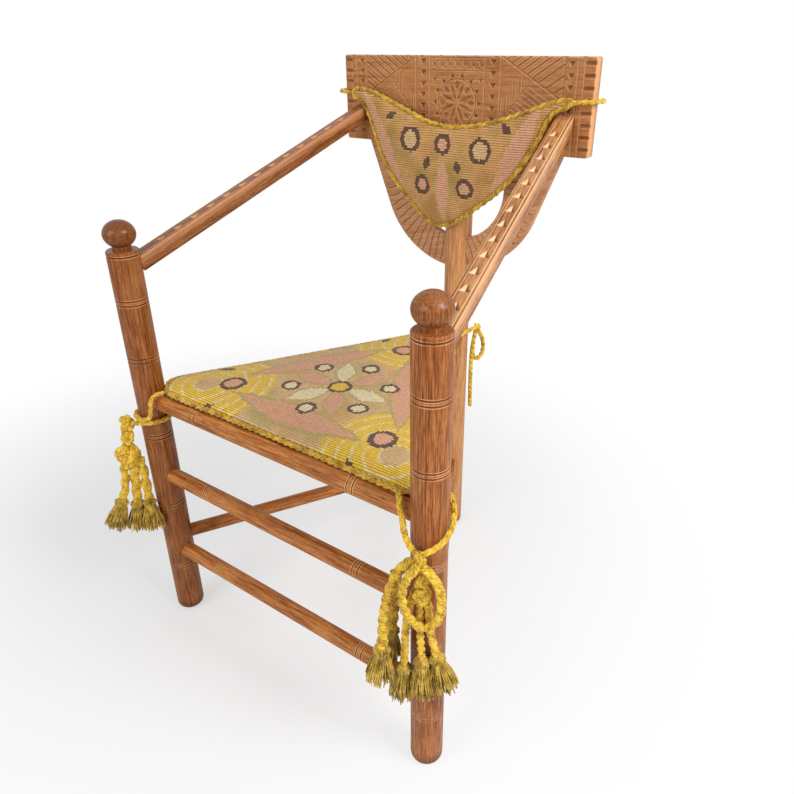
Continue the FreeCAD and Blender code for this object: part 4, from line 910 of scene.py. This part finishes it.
def cotton(name, dark, middle, light):
    """Golden cotton yarn: fine plies wound round each strand, with painted shade in the hollows between them,
    and fuzzy at the edge.
    """
    material = bpy.data.materials.new(name)
    material.use_nodes = True
    tree = material.node_tree
    surface = tree.nodes["Principled BSDF"]
    place = add(tree, "ShaderNodeTexCoord").outputs["Object"]
    along = add(tree, "ShaderNodeAttribute", attribute_name="along").outputs["Fac"]
    rounds = add(tree, "ShaderNodeSeparateXYZ",
                 {0: add(tree, "ShaderNodeAttribute", attribute_name="round").outputs["Vector"]})
    angle = calc(tree, "ARCTAN2", rounds.outputs[1], rounds.outputs[0])
    ply = calc(tree, "SINE", plus(tree, times(tree, angle, 3.0), times(tree, along, 1500.0)))
    cloud = noise(tree, place, 90.0, 4.0, 0.65)
    fibre = noise(tree, place, 1400.0, 3.0)
    share = plus(tree, times(tree, cloud, 0.7), times(tree, fibre, 0.3))
    share = plus(tree, times(tree, ply, 0.05), share)
    tree.links.new(ramp(tree, share, [(0.34, dark), (0.48, middle), (0.66, light)]),
                   surface.inputs["Base Color"])
    surface.inputs["Roughness"].default_value = 0.85
    surface.inputs["Specular IOR Level"].default_value = 0.25
    surface.inputs["Sheen Weight"].default_value = 0.25
    height = plus(tree, times(tree, ply, 0.5), fibre)
    bump = add(tree, "ShaderNodeBump", {"Strength": 0.6, "Distance": 0.0004, "Height": height})
    tree.links.new(bump.outputs[0], surface.inputs["Normal"])
    return material


gold_cotton = cotton("gold_cotton", (0.24, 0.105, 0.005), (0.70, 0.42, 0.022), (1.0, 0.72, 0.09))
edging_cotton = cotton("edging_cotton", (0.15, 0.065, 0.004), (0.52, 0.29, 0.018), (0.88, 0.58, 0.08))


def plaited(name, route, closed, strand, width, thickness, turn, lean=0.6, material=None):
    """A three-strand plait along the smooth line of a route, and the points of that line."""
    spots = spline_points(name + "_line", route, closed)
    mesh = bpy.data.meshes.new(name)
    links = [(step, step + 1) for step in range(len(spots) - 1)] + ([(len(spots) - 1, 0)] if closed else [])
    mesh.from_pydata([tuple(p) for p in spots], links, [])
    piece = linked(name, mesh)
    maker = piece.modifiers.new("Plait", "NODES")
    maker.node_group = plait
    for title, value in (("Strand radius", strand), ("Half width", width), ("Half thickness", thickness),
                         ("Turn length", turn), ("Lean", lean), ("Material", material or gold_cotton)):
        maker[input_of(plait, title)] = value
    applied(piece)
    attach(piece, "root")
    return piece, spots


seat_edging, _ = plaited("seat_plait", [(x, y, 0.4453) for x, y in SEAT_EDGE], True, 0.0023, 0.0021, 0.0014,
                         0.034, 0.5, edging_cotton)
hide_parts("seat_edging")
back_edging, _ = plaited("back_plait", [(x, -0.03275, z) for x, z in BACK_EDGE], True, 0.0027, 0.0024,
                         0.0016, 0.041, 0.5, edging_cotton)
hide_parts("back_edging")

# Thinner plaited cords tie the cushions to the frame: round both front posts and the rear post, and round
# the ends of the crest from the tips of the back cushion.

TIES = {
    "front_left_tie": [
        (-0.219, -0.4862, 0.4501), (-0.227, -0.493, 0.449), (-0.232, -0.502, 0.441),
        (-0.233, -0.505, 0.427), (-0.2365, -0.505, 0.410), (-0.2505, -0.5088, 0.4015),
        (-0.2737, -0.5088, 0.401), (-0.2896, -0.4926, 0.402), (-0.2894, -0.4699, 0.401),
        (-0.2732, -0.454, 0.4), (-0.2505, -0.4542, 0.399), (-0.2346, -0.4704, 0.398),
        (-0.2348, -0.4931, 0.397), (-0.251, -0.509, 0.396), (-0.276, -0.515, 0.393)],
    "front_right_tie": [
        (0.219, -0.4862, 0.4501), (0.227, -0.493, 0.449), (0.233, -0.5015, 0.441), (0.2385, -0.504, 0.429),
        (0.2435, -0.508, 0.415), (0.254, -0.514, 0.404), (0.2705, -0.517, 0.397), (0.2822, -0.5028, 0.402),
        (0.2898, -0.4905, 0.411), (0.2905, -0.4759, 0.422), (0.2842, -0.4621, 0.434),
        (0.2745, -0.4535, 0.4455), (0.263, -0.4495, 0.449)],
    "rear_tie": [(0.029, -0.0347, 0.4485), (0.0318, -0.019, 0.45), (0.0335, 0, 0.4495),
                 (0.0315, 0.021, 0.446)],
    "back_left_tie": [
        (-0.208, -0.031, 0.843), (-0.219, -0.029, 0.844), (-0.232, -0.0275, 0.8445),
        (-0.233, -0.01, 0.8445), (-0.232, 0.0075, 0.844), (-0.219, 0.0085, 0.843), (-0.206, 0.0043, 0.8425),
        (-0.193, 0.0043, 0.842)],
    "back_right_tie": [
        (0.200, -0.0315, 0.8425), (0.216, -0.0285, 0.8435), (0.2305, -0.0265, 0.8445),
        (0.2325, -0.01, 0.8445), (0.232, 0.0075, 0.844), (0.219, 0.0085, 0.843), (0.206, 0.0043, 0.8425),
        (0.193, 0.0043, 0.842)]}
for name, route in TIES.items():
    piece, _ = plaited(name + "_plait", route, False, 0.0021, 0.0019, 0.0013, 0.032, 0.3)
    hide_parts(name)

# Knots of the same cord hold the ties and the tails. Each is a tangle of plait drawn tight round its own
# middle.


CORE_ROWS, CORE_TURNS = 8, 14


def tangle(name, node, lumps):
    """Knotted plait filling egg-shaped lumps: (middle, radii, turn, strand size)."""
    parts = []
    for number, (middle, radii, turn, thick) in enumerate(lumps):
        rim = [max(r - thick, 0.25 * r) for r in radii]
        route = []
        for step in range(36):
            way = 2 * math.pi * step / 36
            swing = 3 * way
            flat = 0.62 + 0.38 * math.cos(swing + number)
            spot = Vector((rim[0] * flat * math.cos(2 * way), rim[1] * flat * math.sin(2 * way),
                           rim[2] * math.sin(swing + number)))
            spot.rotate(Matrix.Rotation(math.radians(turn), 3, "Z"))
            route.append(tuple(Vector(middle) + spot))
        sizes = [thick * share for share in (0.52, 0.5, 0.3, 5.0)]
        piece, _ = plaited("%s_%d" % (name, number), route, True, *sizes, 0.9)
        parts.append(piece)
        spin = Matrix.Rotation(math.radians(turn), 3, "Z")
        inner = [0.85 * r for r in rim]
        points = []
        for row in range(CORE_ROWS + 1):
            for col in range(CORE_TURNS if 0 < row < CORE_ROWS else 1):
                a, b = math.pi * row / CORE_ROWS, 2 * math.pi * (col + 0.5 * (row % 2)) / CORE_TURNS
                spot = (inner[0] * math.sin(a) * math.cos(b), inner[1] * math.sin(a) * math.sin(b),
                        inner[2] * math.cos(a))
                points.append(Vector(middle) + spin @ Vector(spot))
        faces = []
        last_ring = 1 + (CORE_ROWS - 2) * CORE_TURNS
        for col in range(CORE_TURNS):
            after = (col + 1) % CORE_TURNS
            faces.append((0, 1 + col, 1 + after))
            faces.append((len(points) - 1, last_ring + after, last_ring + col))
            for row in range(CORE_ROWS - 2):
                a, b = 1 + row * CORE_TURNS, 1 + (row + 1) * CORE_TURNS
                faces.append((a + col, b + col, b + after, a + after))
        form = solid_mesh("%s_core_%d" % (name, number), points, faces, gold_cotton)
        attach(form, "root")
        parts.append(form)
    for piece in parts:
        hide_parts(node)


for node, lumps in (
        ("front_left_knot", [
            ((-0.284, -0.519, 0.390), (0.0125, 0.0105, 0.015), 57, 0.0052),
            ((-0.2855, -0.521, 0.366), (0.012, 0.0105, 0.014), 57, 0.005),
            ((-0.288, -0.524, 0.332), (0.0225, 0.0175, 0.0235), 57, 0.0072)]),
        ("front_right_knot", [((0.2714, -0.516, 0.387), (0.009, 0.0085, 0.0135), 33, 0.0036)]),
        ("front_right_hank", [
            ((0.2721, -0.5125, 0.361), (0.011, 0.0088, 0.0155), 33, 0.0048),
            ((0.2723, -0.5125, 0.335), (0.0142, 0.0092, 0.0142), 33, 0.0056)]),
        ("rear_knot", [((0.031, 0.024, 0.444), (0.008, 0.008, 0.009), 0, 0.003)])):
    tangle(node + "_cord", node, lumps)

# Below the knots hang the loose ends: plaited tails and loops, limp and straight down. A tail ends in its
# tassel.

LOOSE = {
    # name: (diameter, length, far end, route)
    "front_left_tail_1": (0.012, 0.074, "knot", [
        (-0.293, -0.531, 0.324), (-0.295, -0.534, 0.306), (-0.296, -0.535, 0.288), (-0.298, -0.538, 0.27),
        (-0.3015, -0.5445, 0.252)]),
    "front_left_tail_2": (0.012, 0.078, "knot", [
        (-0.287, -0.521, 0.322), (-0.288, -0.5222, 0.303), (-0.288, -0.5225, 0.284),
        (-0.289, -0.524, 0.264), (-0.29, -0.526, 0.244)]),
    "front_left_tail_3": (0.012, 0.078, "knot", [
        (-0.281, -0.512, 0.324), (-0.28, -0.51, 0.305), (-0.279, -0.511, 0.286), (-0.276, -0.5125, 0.266),
        (-0.2725, -0.515, 0.247)]),
    "front_right_tail_1": (0.012, 0.151, "knot", [
        (0.2676, -0.5119, 0.384), (0.2557, -0.5137, 0.381), (0.2439, -0.5232, 0.364),
        (0.2377, -0.5302, 0.337), (0.233, -0.5338, 0.307), (0.2314, -0.536, 0.275),
        (0.2314, -0.5397, 0.249)]),
    "front_right_tail_2": (0.012, 0.108, "knot", [
        (0.2431, -0.5237, 0.362), (0.2382, -0.5162, 0.345), (0.2337, -0.5131, 0.321),
        (0.231, -0.5125, 0.296), (0.2288, -0.5127, 0.274), (0.2271, -0.5138, 0.257)]),
    "front_right_tail_3": (0.008, 0.133, "knot", [
        (0.2648, -0.5131, 0.345), (0.2598, -0.5164, 0.322), (0.2556, -0.5191, 0.298),
        (0.2535, -0.5205, 0.268), (0.2531, -0.5208, 0.239), (0.2522, -0.5221, 0.213)]),
    "front_right_tail_4": (0.008, 0.093, "knot", [
        (0.2696, -0.5113, 0.322), (0.2689, -0.5111, 0.299), (0.2693, -0.5108, 0.276),
        (0.2703, -0.5105, 0.252), (0.2733, -0.5124, 0.229)]),
    "front_right_tail_5": (0.008, 0.089, "knot", [
        (0.2775, -0.5061, 0.322), (0.2781, -0.5051, 0.299), (0.2793, -0.5043, 0.276),
        (0.283, -0.5025, 0.254), (0.2882, -0.5015, 0.234)]),
    "front_right_loop": (0.009, 0.218, "object", [
        (0.272, -0.5204, 0.385), (0.2635, -0.5295, 0.372), (0.2581, -0.533, 0.352), (0.2581, -0.533, 0.33),
        (0.2631, -0.5298, 0.311), (0.2719, -0.524, 0.296), (0.2813, -0.5179, 0.29),
        (0.2912, -0.5115, 0.297), (0.2971, -0.5077, 0.316), (0.2975, -0.5074, 0.338),
        (0.2941, -0.5096, 0.36), (0.2865, -0.5134, 0.374), (0.2759, -0.5155, 0.384)]),
    "rear_loop": (0.007, 0.128, "object", [
        (0.033, 0.026, 0.44), (0.0395, 0.0315, 0.425), (0.042, 0.034, 0.405), (0.0395, 0.0315, 0.388),
        (0.034, 0.0265, 0.381), (0.029, 0.0225, 0.3815), (0.026, 0.021, 0.393), (0.0255, 0.022, 0.410),
        (0.0265, 0.0245, 0.426), (0.028, 0.0265, 0.439)]),
    "rear_tail": (0.007, 0.161, "bare", [
        (0.0325, 0.0185, 0.441), (0.032, 0.012, 0.424), (0.0295, 0.011, 0.399), (0.028, 0.013, 0.367),
        (0.027, 0.015, 0.335), (0.0265, 0.017, 0.306), (0.0275, 0.017, 0.281)])}

# a tassel: wool strands bound at the head, which spread and wander towards ragged ends
fringe, pin, pout = node_group(
    "tassel_fringe", [("Geometry", SHAPE, None), ("Length", NUMBER, 0.054), ("Radius", NUMBER, 0.0180),
                      ("Strand", NUMBER, 0.0009), ("Strands", COUNT, 150), ("Seed", COUNT, 1),
                      ("Top", ARROW, None), ("Way", ARROW, None), ("Material", STUFF, None)],
    [("Geometry", SHAPE)], "GeometryNodeTree")
GOLDEN_TURN = 2.39996
spots = add(fringe, "GeometryNodePoints", {"Count": pin["Strands"]})
number = add(fringe, "GeometryNodeInputIndex").outputs[0]
noted = spots.outputs[0]
for title, low, high, own_seed in (("reach", 0.84, 1.02, 1.0), ("swing", -1.0, 1.0, 2.0),
                                   ("bow", -1.0, 1.0, 3.0)):
    chance = add(fringe, "FunctionNodeRandomValue", {"ID": number}, data_type="FLOAT")
    chance.inputs[2].default_value, chance.inputs[3].default_value = low, high
    fringe.links.new(plus(fringe, pin["Seed"], own_seed), chance.inputs["Seed"])
    noted = stored(fringe, noted, title, chance.outputs[1])
rank = calc(fringe, "SQRT", calc(fringe, "DIVIDE", plus(fringe, number, 0.5), pin["Strands"]))
noted = stored(fringe, noted, "rank", rank)
noted = stored(fringe, noted, "bearing", times(fringe, number, GOLDEN_TURN))
wisp = add(fringe, "GeometryNodeCurvePrimitiveLine", {"Start": (0, 0, 0), "End": (0, 0, 1)})
wisp = add(fringe, "GeometryNodeResampleCurve", {"Curve": wisp.outputs[0], "Count": 9}, mode="COUNT")
planted = add(fringe, "GeometryNodeInstanceOnPoints", {"Points": noted, "Instance": wisp.outputs[0]})
loose = add(fringe, "GeometryNodeRealizeInstances", {0: planted.outputs[0]})


def held(title):
    return add(fringe, "GeometryNodeInputNamedAttribute", {"Name": title}, data_type="FLOAT").outputs[0]


share = add(fringe, "GeometryNodeSplineParameter").outputs["Factor"]
down = times(fringe, times(fringe, share, held("reach")), pin["Length"])
profile = add(fringe, "ShaderNodeFloatCurve", {"Value": share})
line = profile.mapping.curves[0]
for spot, (place, tall) in zip(line.points, ((0.0, 0.30), (1.0, 1.0))):
    spot.location = (place, tall)
for place, tall in ((0.05, 0.56), (0.13, 0.62), (0.22, 0.44), (0.34, 0.58), (0.6, 0.80), (0.85, 0.97)):
    line.points.new(place, tall)
profile.mapping.update()
breadth = times(fringe, times(fringe, profile.outputs[0], pin["Radius"]), held("rank"))
sway = times(fringe, times(fringe, held("swing"), calc(fringe, "POWER", share, 2.0)), 0.35)
bearing = plus(fringe, held("bearing"), sway)
bowed = times(fringe, held("bow"), calc(fringe, "SINE", times(fringe, share, 7.0)))
breadth = plus(fringe, breadth, times(fringe, bowed, 0.0008))
across, aside = (times(fringe, calc(fringe, way, bearing), breadth) for way in ("COSINE", "SINE"))
place = add(fringe, "ShaderNodeCombineXYZ", {0: across, 1: aside, 2: down})
spread = add(fringe, "GeometryNodeSetPosition",
             {"Geometry": loose.outputs[0], "Position": place.outputs[0]})
section = add(fringe, "GeometryNodeCurvePrimitiveCircle", {"Resolution": 5})
fringe.links.new(pin["Strand"], section.inputs["Radius"])
strands = add(fringe, "GeometryNodeCurveToMesh",
              {"Curve": spread.outputs[0], "Profile Curve": section.outputs[0], "Fill Caps": True})
facing = add(fringe, "FunctionNodeAlignRotationToVector", {"Vector": pin["Way"]}, axis="Z")
stood = add(fringe, "GeometryNodeTransform", {"Geometry": strands.outputs[0], "Translation": pin["Top"]})
fringe.links.new(facing.outputs[0], stood.inputs["Rotation"])
smooth = add(fringe, "GeometryNodeSetShadeSmooth", {0: stood.outputs[0]})
whole = add(fringe, "GeometryNodeRealizeInstances", {0: smooth.outputs[0]})
painted = add(fringe, "GeometryNodeSetMaterial",
              {"Geometry": whole.outputs[0], "Material": pin["Material"]})
fringe.links.new(painted.outputs[0], pout[0])
tassel_wool = cotton("tassel_wool", (0.09, 0.042, 0.003), (0.44, 0.27, 0.022), (0.92, 0.66, 0.14))

for number, (name, (diameter, length, far_end, route)) in enumerate(LOOSE.items()):
    sizes = [diameter * share for share in (0.37, 0.3, 0.2, 4.6)]
    piece, line = plaited(name + "_plait", route, False, *sizes, 0.4 + number)
    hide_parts(name)
    if "_tail_" in name:
        top, way = Vector(route[-1]), (Vector(route[-1]) - Vector(route[-2])).normalized()
        mesh = bpy.data.meshes.new(name.replace("tail", "tassel"))
        mesh.from_pydata([tuple(top)], [], [])
        tassel = linked(name.replace("tail", "tassel") + "_fringe", mesh)
        maker = tassel.modifiers.new("Fringe", "NODES")
        maker.node_group = fringe
        for title, value in (("Top", tuple(top - way * 0.002)), ("Way", tuple(way)), ("Seed", number * 10),
                             ("Material", tassel_wool)):
            maker[input_of(fringe, title)] = value
        applied(tassel)
        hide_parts(name.replace("tail", "tassel"))
        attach(tassel, "root")

# The chair stands on a plain white floor under soft lamps, seen from its front right.

floor_mesh = bpy.data.meshes.new("floor")
floor_mesh.from_pydata([(-6, -6, 0), (6, -6, 0), (6, 6, 0), (-6, 6, 0)], [], [(0, 1, 2, 3)])
floor = linked("floor", floor_mesh)
paint_floor = bpy.data.materials.new("floor_white")
paint_floor.use_nodes = True
tree = paint_floor.node_tree
surface = tree.nodes["Principled BSDF"]
surface.inputs["Base Color"].default_value = (0.84, 0.84, 0.84, 1)
surface.inputs["Roughness"].default_value = 0.9
surface.inputs["Specular IOR Level"].default_value = 0.0
glow = add(tree, "ShaderNodeEmission", {0: (1, 1, 1, 1), 1: 1.0})
place = add(tree, "ShaderNodeTexCoord").outputs["Object"]
away = add(tree, "ShaderNodeVectorMath", {0: place, 1: (-0.38, -0.22, 0)},
           operation="DISTANCE").outputs["Value"]
seen = add(tree, "ShaderNodeLightPath")
fade = times(tree, span(tree, away, 0.3, 1.05, 0.5, 1.0), seen.outputs["Is Camera Ray"])
blend = add(tree, "ShaderNodeMixShader", {0: fade, 1: surface.outputs[0], 2: glow.outputs[0]})
tree.links.new(blend.outputs[0], tree.nodes["Material Output"].inputs["Surface"])
floor_mesh.materials.append(paint_floor)

room = bpy.data.worlds.new("room")
bpy.context.scene.world = room
room.use_nodes = True
tree = room.node_tree
back = tree.nodes["Background"]
back.inputs[0].default_value = (1, 1, 1, 1)
seen = add(tree, "ShaderNodeLightPath")
mirrored = times(tree, seen.outputs["Is Glossy Ray"], 0.8)
direct = calc(tree, "MAXIMUM", seen.outputs["Is Transmission Ray"], mirrored)
direct = calc(tree, "MAXIMUM", seen.outputs["Is Camera Ray"], direct)
tree.links.new(calc(tree, "MAXIMUM", direct, 0.42), back.inputs[1])

for name, place, aim, size, power in (
        ("key", (2.0, -0.3, 1.9), (0, -0.25, 0.4), 1.3, 44.0),
        ("fill", (-0.5, -2.6, 1.7), (0, -0.25, 0.5), 1.6, 26.0)):
    lamp = bpy.data.lights.new(name, "AREA")
    lamp.shape = "DISK"
    lamp.size = size
    lamp.energy = power
    holder = linked(name, lamp)
    holder.location = place
    holder.rotation_euler = (Vector(aim) - Vector(place)).to_track_quat("-Z", "Y").to_euler()

eye = bpy.data.cameras.new("camera")
eye.lens, eye.sensor_width = 31.01, 36.0
eye.shift_x, eye.shift_y = -0.0066, -0.0077
eye.clip_start, eye.clip_end = 0.05, 50.0
camera = linked("camera", eye)
# the camera's right, top and rear, as unit vectors
turn = Matrix(((0.81248, 0.58295, -0.00705), (-0.26216, 0.37611, 0.88871), (0.52073, -0.72021, 0.45841)))
turn = turn.transposed().to_4x4()
camera.matrix_world = Matrix.Translation((0.61393, -1.02117, 0.92546)) @ turn
bpy.context.scene.camera = camera
bpy.context.scene.view_settings.view_transform = "Standard"
